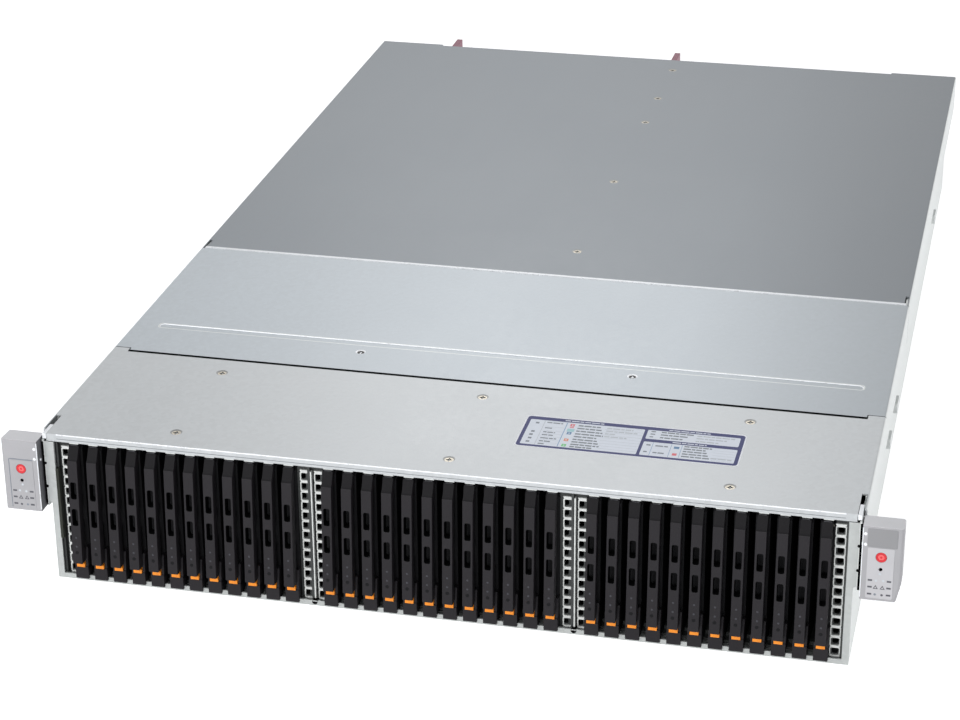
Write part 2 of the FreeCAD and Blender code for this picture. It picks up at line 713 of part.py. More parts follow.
def make_rotor(name):
    body = new_body(name)
    start = as_size(3)
    add(body, name + "_hub", "XZ", start, fan_depth - stator_depth - play - start, disc(0, 0, fan_hub))
    reach = fan_bore - fan_tip_gap * 2
    blade = add(body, name + "_blade", "YZ", fan_hub - 1, reach - fan_hub + 1,
                blade_section(fan_depth * 0.5, 18))
    blades = body.newObject("PartDesign::PolarPattern", name + "_blades")
    blades.Originals = [blade]
    blades.Axis = (origin_item(body, "Y_Axis"), [""])
    blades.Angle = 360
    blades.Occurrences = BLADES
    body.Tip = blades
    return body


# Power supplies
def make_psu(name, side):
    body = new_body(name + "_case")
    half = psu_width / 2
    add(body, body.Name + "_shell", "XZ", rear_face - psu_length, psu_length,
        rect(-half, psu_floor, half, psu_floor + psu_height))
    low = psu_floor + inlet_centre - inlet_height / 2
    cut(body, body.Name + "_inlet", "XZ", rear_face - inlet_depth, inlet_depth + 1,
        rect(-inlet_width / 2, low, inlet_width / 2, low + inlet_height))
    fan_z = psu_floor + psu_height - half
    cut(body, body.Name + "_fan_recess", "XZ", rear_face - 2, 3, disc(0, fan_z, half - 3))
    handle = new_body(name + "_handle")
    x = -half + handle_bar / 2 + 1
    bottom = psu_floor + 4
    top = psu_floor + inlet_height + inlet_centre
    outline = [(rear_face, bottom), (rear_face + handle_reach, bottom),
               (rear_face + handle_reach, top), (rear_face, top), (rear_face, top - handle_bar),
               (rear_face + handle_reach - handle_bar, top - handle_bar),
               (rear_face + handle_reach - handle_bar, bottom + handle_bar),
               (rear_face, bottom + handle_bar)]
    add(handle, handle.Name + "_bar", "YZ", x - handle_bar / 2, handle_bar / 2, outline)
    place(group(name, [body, handle]), psu_centre * side)


# Server sleds
def make_sled(name, start, width):
    """A tray with its rear panel, main board, heat sinks, memory and pull handle."""
    floor = sled_floor
    front = panel_back - sled_length
    tray = new_body(name + "_tray")
    outline = [(0, floor), (width, floor), (width, floor + sled_wall), (width - sled_sheet, floor + sled_wall),
               (width - sled_sheet, floor + sled_sheet), (sled_sheet, floor + sled_sheet),
               (sled_sheet, floor + sled_wall), (0, floor + sled_wall)]
    add(tray, tray.Name + "_fold", "XZ", front, sled_length, outline)
    add(tray, tray.Name + "_panel", "XZ", panel_back - sled_sheet, sled_sheet,
        rect(0, floor, width, panel_height))
    card = rect(width * 0.56, floor + 50, width * 0.96, floor + 70)
    ports = rect(width * 0.1, floor + 8, width * 0.4, floor + 24)
    cut(tray, tray.Name + "_card_slots", "XZ", panel_back - sled_sheet - 1, sled_sheet + 2, card, ports)
    lug = tab_pin + 2.2
    pin_y = panel_back + tab_swing
    lug_outline = [(tab_x() - lug, panel_back), (tab_x() + lug, panel_back), (tab_x() + lug, pin_y + lug),
                   (tab_x() - lug, pin_y + lug)]
    barrel_top = tab_foot + 16
    add(tray, tray.Name + "_lug_low", "XY", tab_foot - play - 3, 3, lug_outline)
    add(tray, tray.Name + "_lug_high", "XY", barrel_top + play, 3, lug_outline)
    add(tray, tray.Name + "_pin", "XY", tab_foot - play - 1, 16 + play * 2 + 2, disc(tab_x(), pin_y, tab_pin))
    left = width * 0.45
    right = left + width * 0.366
    y1 = panel_back + handle_reach
    grip = [(left, panel_back - sled_sheet), (left, y1), (right, y1), (right, panel_back - sled_sheet),
            (right - handle_bar, panel_back - sled_sheet), (right - handle_bar, y1 - handle_bar),
            (left + handle_bar, y1 - handle_bar), (left + handle_bar, panel_back - sled_sheet)]
    add(tray, tray.Name + "_handle", "XY", floor + 32, 8, grip)
    main = new_body(name + "_board")
    add(main, main.Name + "_sheet", "XY", floor + sled_sheet + 5, 1.6,
        rect(3, front + 3, width - 3, panel_back - 12))
    post = [rect(x - 3, y - 3, x + 3, y + 3)
            for x in (10, width - 10) for y in (front + 12, panel_back - 24)]
    add(main, main.Name + "_posts", "XY", floor + sled_sheet, 5.1, *post)
    top = floor + sled_sheet + 6.5
    add(main, main.Name + "_port_block", "XY", top, 15,
        rect(width * 0.11, panel_back - 30, width * 0.39, panel_back - sled_sheet))
    for number, y in enumerate((front + 60, front + 195)):
        add_heat_sink(main, "%s_sink_%d" % (main.Name, number + 1), width / 2, y, top)
        for stack, x in enumerate((6, width - 6 - 27)):
            add_memory(main, "%s_memory_%d%d" % (main.Name, number + 1, stack + 1), x, y, top)
    add(main, main.Name + "_riser", "XY", top, floor + 51.1 - top,
        rect(width * 0.6, panel_back - 130, width * 0.6 + 2, panel_back - 60))
    add(main, main.Name + "_card", "XY", floor + 51, 18,
        rect(width * 0.57, panel_back - 150, width * 0.95, panel_back - sled_sheet))
    place(group(name, [tray, main]), start)


def tab_x():
    """Release tab's pin, from the sled's left side."""
    return tab_width / 2 + 1.6


def add_heat_sink(body, name, x, y, top):
    """Adds a finned heat sink to the board."""
    base = 5
    low = x - sink_width / 2
    add(body, name + "_base", "XY", top, base, rect(low, y, low + sink_width, y + sink_length))
    fin = add(body, name + "_fin", "XZ", y, sink_length,
              rect(low, top + base - 0.5, low + 1.6, top + sink_height))
    repeat(body, name + "_fins", fin, "X_Axis", sink_width - 1.6, SINK_FINS)


def add_memory(body, name, x, y, top):
    """Adds a row of memory modules in their sockets."""
    add(body, name + "_sockets", "XY", top, 5, rect(x, y - 12, x + 27, y - 12 + memory_length))
    module = add(body, name + "_module", "XZ", y - 12, memory_length,
                 rect(x + 1, top + 4, x + 4, top + memory_height))
    repeat(body, name + "_modules", module, "X_Axis", 22, MEMORY_MODULES)


def make_latch_tab(name, start):
    body = new_body(name)
    pin_y = panel_back + tab_swing
    barrel = tab_pin + 1.8
    half = tab_width / 2
    tip = pin_y + tab_reach
    add(body, name + "_barrel", "XY", tab_foot, 16, disc(tab_x(), pin_y, barrel))
    middle = tab_x() - 1.3
    add(body, name + "_grip", "XY", tab_foot, tab_top - tab_foot,
        rect(middle - half, pin_y + 1, middle + half, tip))
    corner = [(middle - half - 1, tab_top - 7), (middle - half + 3, tab_top + 1),
              (middle - half - 1, tab_top + 1)]
    cut(body, name + "_corner", "XZ", pin_y - 5, tab_reach + 10, corner)
    cut(body, name + "_over_lug", "XY", tab_foot + 16, tab_top, rect(0, pin_y - 8, 20, pin_y + tab_pin + 3))
    cut(body, name + "_bore", "XY", tab_foot - 1, 18, disc(tab_x(), pin_y, tab_pin + 0.05))
    place(body, start)


make_chassis_base()
make_drive_cage()
make_backplane()
make_front_cover()
make_fan_cover()
make_rear_cover()
make_ear_brackets()
make_ear("right", 1)
make_ear("left", -1)
make_fans()
make_psu("psu_right", 1)
make_psu("psu_left", -1)
sled_width = sled_outer - sled_inner
make_sled("node_sled_right", sled_inner, sled_width)
make_sled("node_sled_left", -sled_outer, sled_width)
make_latch_tab("node_latch_right", sled_inner)
make_latch_tab("node_latch_left", -sled_outer)
make_drives()

doc.recompute()


def check_document():
    """Stops if any object failed, or if a feature added or removed nothing."""
    for item in doc.Objects:
        if "Invalid" in item.State or "Error" in item.State:
            raise RuntimeError("%s failed: %s" % (item.Name, item.State))
    for item in doc.Objects:
        base = getattr(item, "BaseFeature", None)
        if base is None or not item.isDerivedFrom("PartDesign::Feature"):
            continue
        change = item.Shape.Volume - base.Shape.Volume
        removes = item.isDerivedFrom("PartDesign::Pocket")
        if (removes and change > -1e-3) or (item.isDerivedFrom("PartDesign::Pad") and change < 1e-3):
            raise RuntimeError("%s changed nothing" % item.Name)
    for item in parts:
        shape = item.Shape
        if shape.isNull() or not shape.isValid() or not shape.Solids:
            raise RuntimeError("%s has no sound shape" % item.Label)


check_document()
os.makedirs("parts", exist_ok=True)
for item in parts:
    item.Shape.exportStep("parts/%s.step" % item.Label)
print("%d sub-parts" % len(parts))
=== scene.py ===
import math

import bmesh
import bpy
from mathutils import Matrix, Vector


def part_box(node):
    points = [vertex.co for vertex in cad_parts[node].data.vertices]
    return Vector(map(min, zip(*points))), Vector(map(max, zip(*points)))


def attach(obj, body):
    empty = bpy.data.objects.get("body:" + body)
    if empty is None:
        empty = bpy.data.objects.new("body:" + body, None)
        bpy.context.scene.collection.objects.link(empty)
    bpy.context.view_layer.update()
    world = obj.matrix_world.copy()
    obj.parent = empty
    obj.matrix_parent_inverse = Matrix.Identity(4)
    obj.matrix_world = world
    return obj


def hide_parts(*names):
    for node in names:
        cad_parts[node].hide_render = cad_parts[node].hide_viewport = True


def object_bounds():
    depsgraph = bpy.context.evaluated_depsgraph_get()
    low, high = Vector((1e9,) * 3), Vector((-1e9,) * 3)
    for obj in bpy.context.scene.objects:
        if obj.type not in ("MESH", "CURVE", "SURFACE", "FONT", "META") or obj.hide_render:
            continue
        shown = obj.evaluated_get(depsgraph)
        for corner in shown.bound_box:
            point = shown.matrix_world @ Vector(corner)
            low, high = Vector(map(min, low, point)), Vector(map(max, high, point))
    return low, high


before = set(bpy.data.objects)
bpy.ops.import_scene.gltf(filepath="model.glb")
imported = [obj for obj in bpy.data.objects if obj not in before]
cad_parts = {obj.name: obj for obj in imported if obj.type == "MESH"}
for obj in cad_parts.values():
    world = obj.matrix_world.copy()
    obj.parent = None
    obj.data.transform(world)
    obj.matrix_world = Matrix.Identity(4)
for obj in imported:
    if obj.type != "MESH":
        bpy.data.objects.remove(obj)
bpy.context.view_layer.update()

MM = 0.001
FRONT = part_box("chassis_base")[0][1]
FRAME_TOP = 87.0
ROOF = 86.94    # the covers are finished a little lower, so that print and rims stay under that
SQUARE = 0.9    # how much of its normal a face has along an axis that it faces
SHARP = 32      # edges sharper than this many degrees are rounded


# ------------ workshop

def at(x, y, z):
    """A place in metres from millimetres right of centre, behind the front and above the floor."""
    return Vector((x * MM, FRONT + y * MM, z * MM))


def in_mm(place):
    """The same place back in millimetres."""
    return Vector((place[0] / MM, (place[1] - FRONT) / MM, place[2] / MM))


def box_mm(node):
    """A node's lowest and highest corners in millimetres."""
    return [in_mm(corner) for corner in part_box(node)]


def middle_of(node):
    """How many millimetres right of centre a node's middle is."""
    low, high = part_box(node)
    return (low[0] + high[0]) / 2 / MM


def clear_bench():
    """Leaves edit mode with nothing selected."""
    if bpy.context.object and bpy.context.object.mode != "OBJECT":
        bpy.ops.object.mode_set(mode="OBJECT")
    bpy.ops.object.select_all(action="DESELECT")


def take(*pieces):
    """Selects pieces, the first of them active."""
    clear_bench()
    for piece in pieces:
        piece.select_set(True)
    bpy.context.view_layer.objects.active = pieces[0]


def settle(piece):
    """Puts the piece's place, turn and scale into its mesh."""
    take(piece)
    bpy.ops.object.transform_apply(location=True, rotation=True, scale=True)
    return piece


def block(name, low, high):
    """A squared blank between two corners."""
    clear_bench()
    middle = [(a + b) / 2 for a, b in zip(low, high)]
    bpy.ops.mesh.primitive_cube_add(size=1, location=at(*middle))
    piece = bpy.context.object
    piece.name = name
    piece.scale = [(b - a) * MM for a, b in zip(low, high)]
    return settle(piece)


def side_block(name, side, low, high):
    """A block given for the right side, 1, or its mirror image for the left, -1."""
    first, last = sorted((side * low[0], side * high[0]))
    return block(name, (first, *low[1:]), (last, *high[1:]))


def turned(name, middle, radius, length, axis="Y", sides=24, tip=None):
    """A turned blank, straight or tapering to its tip's radius."""
    clear_bench()
    spin = {"X": (0, math.pi / 2, 0), "Y": (math.pi / 2, 0, 0), "Z": (0, 0, 0)}[axis]
    bpy.ops.mesh.primitive_cone_add(
        vertices=sides, radius1=radius * MM, radius2=(radius if tip is None else tip) * MM,
        depth=length * MM, location=at(*middle), rotation=spin)
    piece = bpy.context.object
    piece.name = name
    return settle(piece)


def along(axis, least):
    """A test for edges that go further than a length along an axis."""
    index = "xyz".index(axis)
    return lambda a, b: abs(a[index] - b[index]) > least


def both(test):
    """A test for edges whose two ends pass."""
    return lambda a, b: test(a) and test(b)


def facing(axis, way=1):
    """A test for faces that look along an axis, or back along it where way is -1."""
    index = "xyz".index(axis)
    return lambda place, normal: normal[index] * way > SQUARE


class Shaping:
    """Edit mode on one piece. Each step first picks faces, edges or the whole, then works them."""

    def __init__(self, piece):
        self.piece = piece

    def __enter__(self):
        take(self.piece)
        bpy.ops.object.mode_set(mode="EDIT")
        return self

    def __exit__(self, *problem):
        bpy.ops.object.mode_set(mode="OBJECT")

    def pick(self, kind, found_in):
        """Selects only what is found in the mesh, which has to be something."""
        bpy.ops.mesh.select_mode(type=kind)
        bpy.ops.mesh.select_all(action="DESELECT")
        mesh = bmesh.from_edit_mesh(self.piece.data)
        found = found_in(mesh)
        if not found:
            raise ValueError("nothing picked on " + self.piece.name)
        for part in found:
            part.select_set(True)
        bmesh.update_edit_mesh(self.piece.data)
        return self

    def faces(self, *tests):
        """Picks the faces whose middle in millimetres and normal pass every test."""
        return self.pick("FACE", lambda mesh: [
            face for face in mesh.faces
            if all(test(in_mm(face.calc_center_median()), face.normal) for test in tests)])

    def edges(self, *tests):
        """Picks the edges whose two ends in millimetres pass every test."""
        return self.pick("EDGE", lambda mesh: [
            edge for edge in mesh.edges
            if all(test(*[in_mm(end.co) for end in edge.verts]) for test in tests)])

    def whole(self):
        """Picks the whole piece."""
        bpy.ops.mesh.select_all(action="SELECT")
        return self

    def inset(self, width, depth=0):
        bpy.ops.mesh.inset(thickness=width * MM, depth=depth * MM)
        return self

    def extrude(self, x, y, z):
        bpy.ops.mesh.extrude_region_move(
            TRANSFORM_OT_translate={"value": (x * MM, y * MM, z * MM)})
        return self

    def move(self, x, y, z):
        bpy.ops.transform.translate(value=(x * MM, y * MM, z * MM))
        return self

    def flatten(self, y):
        """Presses the pick flat to one depth."""
        bpy.ops.transform.resize(value=(1, 0, 1), center_override=at(0, y, 0))
        return self

    def turn(self, angle, centre):
        """Turns the pick about a line from front to back through a centre."""
        bpy.ops.transform.rotate(value=angle, orient_axis="Y", center_override=at(*centre))
        return self

    def bevel(self, width, segments=1):
        bpy.ops.mesh.bevel(offset=width * MM, segments=segments, affect="EDGES")
        return self

    def slice(self, height):
        """Adds an edge all round the piece at a height."""
        self.whole()
        bpy.ops.mesh.bisect(plane_co=at(0, 0, height), plane_no=(0, 0, 1))
        return self

    def paint(self, material):
        """Gives the picked faces a finish."""
        names = [slot.name for slot in self.piece.data.materials]
        if material.name not in names:
            self.piece.data.materials.append(material)
            names.append(material.name)
        self.piece.active_material_index = names.index(material.name)
        bpy.ops.object.material_slot_assign()
        return self


def bevelled(piece, width, segments, *tests):
    """Bevels the piece's edges that pass every test."""
    with Shaping(piece) as tool:
        tool.edges(*tests).bevel(width, segments)
    return piece


def apply(piece, kind, **settings):
    """Adds a modifier and applies it."""
    take(piece)
    modifier = piece.modifiers.new(kind.lower(), kind)
    for key, value in settings.items():
        setattr(modifier, key, value)
    bpy.ops.object.modifier_apply(modifier=modifier.name)
    return piece


def carve(piece, *cutters):
    """Cuts other shapes out of a piece."""
    cutter = join("cutter", *cutters)
    apply(piece, "BOOLEAN", operation="DIFFERENCE", solver="EXACT", object=cutter)
    discard(cutter)
    return piece


def discard(*pieces):
    """Throws away cutters and pieces that were only copied."""
    for piece in pieces:
        bpy.data.objects.remove(piece)


def ease(piece, width, segments=2, angle=SHARP):
    """Rounds every sharp edge and smooths the shading."""
    apply(piece, "BEVEL", width=width * MM, segments=segments, limit_method="ANGLE",
          angle_limit=math.radians(angle), harden_normals=False)
    return even_shading(piece)


def even_shading(piece):
    """Smooths the round parts and keeps the flats flat."""
    take(piece)
    bpy.ops.object.shade_smooth_by_angle(angle=math.radians(28))
    return apply(piece, "WEIGHTED_NORMAL", weight=100, keep_sharp=True)


def join(name, *pieces):
    """Makes one piece of several."""
    take(*pieces)
    if len(pieces) > 1:
        bpy.ops.object.join()
    piece = bpy.context.object
    piece.name = name
    return piece


def coat(piece, material):
    """Covers the whole piece with one finish."""
    piece.data.materials.clear()
    piece.data.materials.append(material)
    return piece


def dress(piece, material, width, segments=1, angle=SHARP):
    """Coats a piece and rounds its edges."""
    return ease(coat(piece, material), width, segments, angle)


def bring(name, data):
    """Brings a new object into the scene."""
    thing = bpy.data.objects.new(name, data)
    bpy.context.collection.objects.link(thing)
    return thing


def copy(piece, name, x=0, y=0, z=0):
    """Another one of the same, with its own mesh, moved by millimetres."""
    twin = bring(name, piece.data.copy())
    twin.data.transform(Matrix.Translation((x * MM, y * MM, z * MM)))
    return twin


def flipped(piece, name):
    """The mirror image across the centre line."""
    twin = copy(piece, name)
    with Shaping(twin) as tool:
        tool.whole()
        bpy.ops.transform.mirror(constraint_axis=(True, False, False), orient_type="GLOBAL",
                                 center_override=(0, 0, 0))
        bpy.ops.mesh.normals_make_consistent(inside=False)
    bpy.ops.mesh.customdata_custom_splitnormals_clear()
    return even_shading(settle(twin))


def from_solid(node, name):
    """A clean copy of a frame solid, its flat faces whole again."""
    piece = copy(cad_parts[node], name)
    with Shaping(piece) as tool:
        tool.whole()
        bpy.ops.mesh.remove_doubles(threshold=1e-6)
        bpy.ops.mesh.dissolve_limited(angle_limit=math.radians(1))
    return piece


def finish(piece, body, slot, *nodes):
    """Hangs a finished piece on its body, in place of the nodes that it stands for."""
    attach(piece, body)
    if nodes:
        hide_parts(*nodes)


def on_chassis(*pieces, slot="galvanised"):
    """Hangs small parts on the chassis."""
    for piece in pieces:
        finish(piece, "chassis", slot)


# ------------ finishes

class Wire:
    """A value in a material. Sums and products of it add Math nodes."""

    def __init__(self, paint, socket):
        self.paint = paint
        self.socket = socket

    def math(self, operation, *values):
        return self.paint.node("Math", {"operation": operation}, dict(enumerate(values)))

    def __add__(self, other):
        return self.math("ADD", self, other)

    def __radd__(self, other):
        return self.math("ADD", other, self)

    def __mul__(self, other):
        return self.math("MULTIPLY", self, other)

    def __rmul__(self, other):
        return self.math("MULTIPLY", other, self)


class Paint:
    """One material and its nodes, or the world's."""

    def __init__(self, name, kind="materials"):
        self.material = getattr(bpy.data, kind).new(name)
        self.material.use_nodes = True
        self.tree = self.material.node_tree
        self.tree.nodes.clear()

    def node(self, kind, settings=None, sockets=None, output=0):
        """Adds a node with its settings and sockets, and returns one of its outputs."""
        node = self.tree.nodes.new("ShaderNode" + kind)
        for key, value in (settings or {}).items():
            setattr(node, key, value)
        for key, value in (sockets or {}).items():
            if isinstance(value, Wire):
                self.tree.links.new(value.socket, node.inputs[key])
            else:
                node.inputs[key].default_value = value
        return Wire(self, node.outputs[output]) if node.outputs else None

    def place(self, *stretch):
        """Object coordinates in metres, stretched along the axes."""
        spot = self.node("TexCoord", output="Object")
        return self.node("Mapping", {}, {"Vector": spot, "Scale": stretch or (1, 1, 1)})

    def axis(self, letter):
        """One Object coordinate in metres."""
        spot = self.node("TexCoord", output="Object")
        return self.node("SeparateXYZ", {}, {0: spot}, output=letter)

    def noise(self, scale, detail=2, rough=0.5, stretch=(1, 1, 1)):
        """Noise between 0 and 1 of about so many lumps a metre."""
        return self.node("TexNoise", {}, {"Vector": self.place(*stretch), "Scale": scale,
                                          "Detail": detail, "Roughness": rough})

    def between(self, factor, first, second):
        """A colour between two."""
        return self.node("Mix", {"data_type": "RGBA"}, {0: factor, 6: first, 7: second}, output=2)

    def spread(self, value, low, high):
        """Stretches part of a value's range over 0 to 1."""
        return self.node("MapRange", {}, {0: value, 1: low, 2: high})

    def shown(self):
        """1 for what the camera sees straight, or by way of gloss or glass."""
        camera, gloss, glass = [self.node("LightPath", output="Is %s Ray" % kind)
                                for kind in ("Camera", "Glossy", "Transmission")]
        return camera + gloss + glass

    def bump(self, height, strength):
        """Relief of a fifth of a millimetre."""
        return self.node("Bump", {}, {"Strength": strength, "Distance": 0.2 * MM, "Height": height})

    def surface(self, colour, rough, relief=None, metal=0.0, specular=0.5):
        """Ends the material in a Principled surface."""
        sockets = {"Base Color": colour, "Roughness": rough, "Metallic": metal,
                   "Specular IOR Level": specular}
        if relief:
            sockets["Normal"] = relief
        shader = self.node("BsdfPrincipled", {}, sockets)
        self.node("OutputMaterial", {}, {"Surface": shader})
        return self.material


def srgb(levels):
    """A screen colour's levels of 0 to 255 as linear light."""
    def linear(value):
        value = value / 255
        return value / 12.92 if value <= 0.04045 else ((value + 0.055) / 1.055) ** 2.4
    return (*map(linear, levels), 1.0)


def shade(colour, factor):
    """The same colour lighter or darker."""
    return tuple(min(1.0, part * factor) for part in colour[:3]) + (1.0,)


def galvanised(name, levels, metal=0.55, rough=0.42, painted_shade_end=0.0):
    """Zinc-coated sheet: fine crystals, soft clouds and wipe marks, and a painted shade darkening
    its right end.
    """
    paint = Paint(name)
    colour = srgb(levels)
    crystal = paint.node("TexVoronoi", {"feature": "F1"},
                         {"Vector": paint.place(), "Scale": 420.0, "Randomness": 1.0},
                         output="Color")
    grey = paint.node("RGBToBW", {}, {0: crystal})
    grain = paint.noise(2600, 3, 0.6)
    cloud = paint.noise(9, 3, 0.55)
    wipe = paint.noise(60, 2, 0.5, (1.0, 0.12, 1.0))
    tone = grey * 0.35 + grain * 0.25 + cloud * 0.3 + wipe * 0.1
    base = paint.between(paint.spread(tone, 0.2, 0.8), shade(colour, 0.90), shade(colour, 1.08))
    # painted shade: the right end darkens towards half the colour, standing in for the studio's
    # reflection falling off there
    if painted_shade_end:
        end = paint.spread(paint.axis("X"), 0.10, 0.22)
        base = paint.between(end * painted_shade_end, base, shade(colour, 0.5))
    dull = paint.spread(grey * 0.4 + cloud * 0.6, 0.2, 0.8) * 0.12 + (rough - 0.06)
    relief = paint.bump(grain * 0.7 + grey * 0.3, 0.05)
    return paint.surface(base, dull, relief, metal=metal)


def moulded(name, levels, rough=0.5, pebble=1400, depth=0.12, specular=0.5):
    """Moulded plastic: a fine sparked texture and slightly uneven gloss."""
    paint = Paint(name)
    colour = srgb(levels)
    spark = paint.noise(pebble, 3, 0.6)
    cloud = paint.noise(40, 2)
    base = paint.between(cloud, shade(colour, 0.9), shade(colour, 1.1))
    dull = paint.spread(spark * 0.5 + cloud * 0.5, 0.2, 0.8) * 0.14 + (rough - 0.07)
    relief = paint.bump(spark, depth)
    return paint.surface(base, dull, relief, specular=specular)


def printed(name, levels):
    """Ink on a label, a little uneven."""
    paint = Paint(name)
    colour = srgb(levels)
    cloud = paint.noise(300, 2)
    base = paint.between(cloud, shade(colour, 0.96), shade(colour, 1.04))
    return paint.surface(base, 0.45, specular=0.25)


# The three covers are one galvanised sheet. Their tones differ as painted light: the front and fan
# covers are lighter as painted reflection, and the rear cover is darker as painted shade.
COVER_FRONT_PAINTED_REFLECTION = galvanised("cover_sheet_front_painted_reflection", (187, 190, 192))
COVER_FAN_PAINTED_REFLECTION = galvanised("cover_sheet_fan_painted_reflection", (180, 186, 191), painted_shade_end=0.4)
COVER_REAR_PAINTED_SHADE = galvanised("cover_sheet_rear_painted_shade", (131, 136, 141), painted_shade_end=0.28)
ZINC = galvanised("zinc_sheet", (206, 209, 208), rough=0.38)
FLANGE_SHEET = galvanised("flange_sheet", (178, 181, 180), rough=0.46)
# painted shade: the cage's sheet is darkened so that its strips read as shade behind the bright
# vent ladders
VENT_PAINTED_SHADE = galvanised("vent_sheet_painted_shade", (62, 64, 64), rough=0.5)
VENT_BRIGHT = galvanised("vent_bright", (214, 216, 214), metal=0.3, rough=0.38)
# painted highlight: near-white zinc for folds, edges, rims and knobs where they catch the light
PAINTED_HIGHLIGHT = galvanised("edge_painted_highlight", (238, 240, 243), metal=0.2, rough=0.3)
SCREW = galvanised("zinc_screw", (206, 198, 182), metal=0.5, rough=0.3)
# painted shade: steel darkened for the fan cover's screws, as if they lay in shade
SCREW_PAINTED_SHADE = galvanised("screw_painted_shade", (62, 60, 58), metal=0.6, rough=0.35)
# painted shade: the countersinks round the screws are darkened
SEAT_PAINTED_SHADE = galvanised("screw_seat", (146, 147, 146), metal=0.5, rough=0.4)
DRIVE_BLACK = moulded("drive_black", (34, 32, 35), rough=0.55, specular=0.18)
DRIVE_CAP = moulded("drive_cap", (24, 23, 25), rough=0.6, specular=0.1)
DRIVE_CASE = moulded("drive_case", (20, 20, 22), rough=0.6, specular=0.12)
LENS_GREY = moulded("lens_grey", (66, 66, 71), rough=0.4, specular=0.2)
# painted highlight: the lit top of a lever's cap
CAP_PAINTED_HIGHLIGHT = moulded("cap_painted_highlight", (92, 92, 96), rough=0.5, specular=0.3)
# painted shade: near black for holes, gaps and hollows, standing in for the shade inside them
PIT_PAINTED_SHADE = moulded("pit_painted_shade", (6, 6, 7), rough=0.8, specular=0.05)
OLIVE = moulded("olive_strip", (46, 48, 42), rough=0.55, specular=0.2)
LATCH_ORANGE = moulded("latch_orange", (250, 146, 32), rough=0.38, depth=0.05)
SHADOW_GREY = moulded("shadow_grey", (120, 124, 128), rough=0.6)
EAR_GREY = moulded("ear_grey", (166, 165, 168), rough=0.5)
# painted light: the ears' top slopes are lighter, as if lit from above
EAR_TOP_PAINTED_LIGHT = moulded("ear_top_painted_light", (216, 215, 217), rough=0.5)
# painted shade: the right ear's upper front is darker
EAR_PAINTED_SHADE = moulded("ear_painted_shade", (142, 142, 144), rough=0.5)
# painted shade: the ears' inner sides are darker
EAR_INNER_PAINTED_SHADE = moulded("ear_inner_painted_shade", (112, 112, 116), rough=0.55)
MARK_GREY = printed("mark_grey", (92, 92, 98))
EAR_PANEL = moulded("ear_panel", (190, 189, 192), rough=0.42, depth=0.05)
BUTTON_RED = moulded("button_red", (214, 42, 52), rough=0.32, depth=0.04)
BUTTON_CORAL = moulded("button_coral", (244, 104, 104), rough=0.35, depth=0.04)
MAROON = moulded("release_maroon", (138, 66, 88), rough=0.4)
PAPER = printed("label_paper", (230, 235, 244))
PAPER_EDGE = printed("label_edge", (246, 247, 252))
NAVY = printed("label_navy", (50, 55, 108))
BLUE = printed("label_blue_line", (150, 176, 204))
GREY = printed("label_grey", (130, 136, 144))
PALE = printed("label_pale_grey", (196, 201, 206))
ROSE = printed("label_red", (226, 116, 124))
PEACH = printed("label_orange", (232, 150, 124))
STEEL_BLUE = printed("label_blue", (104, 140, 176))
TEAL = printed("label_teal", (172, 214, 218))
MINT = printed("label_green", (120, 206, 132))
BOARD_GREEN = moulded("board_green", (28, 74, 48), rough=0.4, pebble=500)
ALUMINIUM = galvanised("sink_aluminium", (190, 192, 195), metal=0.9, rough=0.32)
FAN_BLACK = moulded("fan_black", (34, 34, 37), rough=0.45)
PORT_METAL = galvanised("port_metal", (176, 178, 180), metal=0.5, rough=0.42)
PORT_BLUE = moulded("port_blue", (36, 82, 170), rough=0.4)
CONTACT_GOLD = galvanised("contact_gold", (214, 170, 84), metal=0.9, rough=0.25)
LED_GREEN = moulded("led_green", (96, 200, 110), rough=0.25, depth=0.03)
PSU_ZINC = galvanised("supply_sheet", (190, 192, 194), rough=0.4)


# ------------ covers

SEAM = in_mm(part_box("fan_cover")[0]).y
BEAD = SEAM + 36.2
LIP_END = 208.9     # the roof's folded front edge reaches this far to each side
ROUND = 28          # sides of a screw and its seat


def screw_seat(x, y, radius):
    """A countersink's cutter."""
    return turned("seat", (x, y, ROOF - 0.38), radius * 0.55, 0.8, "Z", ROUND, tip=radius)


def countersunk_screw(name, x, y, steel):
    """A flush screw sunk in its seat, with a crossed recess painted black as painted shade."""
    head = turned(name, (x, y, ROOF - 0.75), 2.3, 0.6, "Z", ROUND, tip=2.6)
    for long, wide in ((1.7, 0.42), (0.42, 1.7)):
        carve(head, block("slot", (x - long, y - wide, ROOF - 0.95), (x + long, y + wide, ROOF)))
    carve(head, turned("cup", (x, y, ROOF - 0.65), 0.6, 0.9, "Z", 16, tip=1.3))
    with Shaping(coat(head, steel)) as tool:
        # painted shade: the recess's walls and floor are painted near black
        tool.faces(lambda place, normal: ROOF - 1.0 < place.z < ROOF - 0.48 and normal.z > -0.5
                   and (place.xy - Vector((x, y))).length < 1.9).paint(PIT_PAINTED_SHADE)
    return head


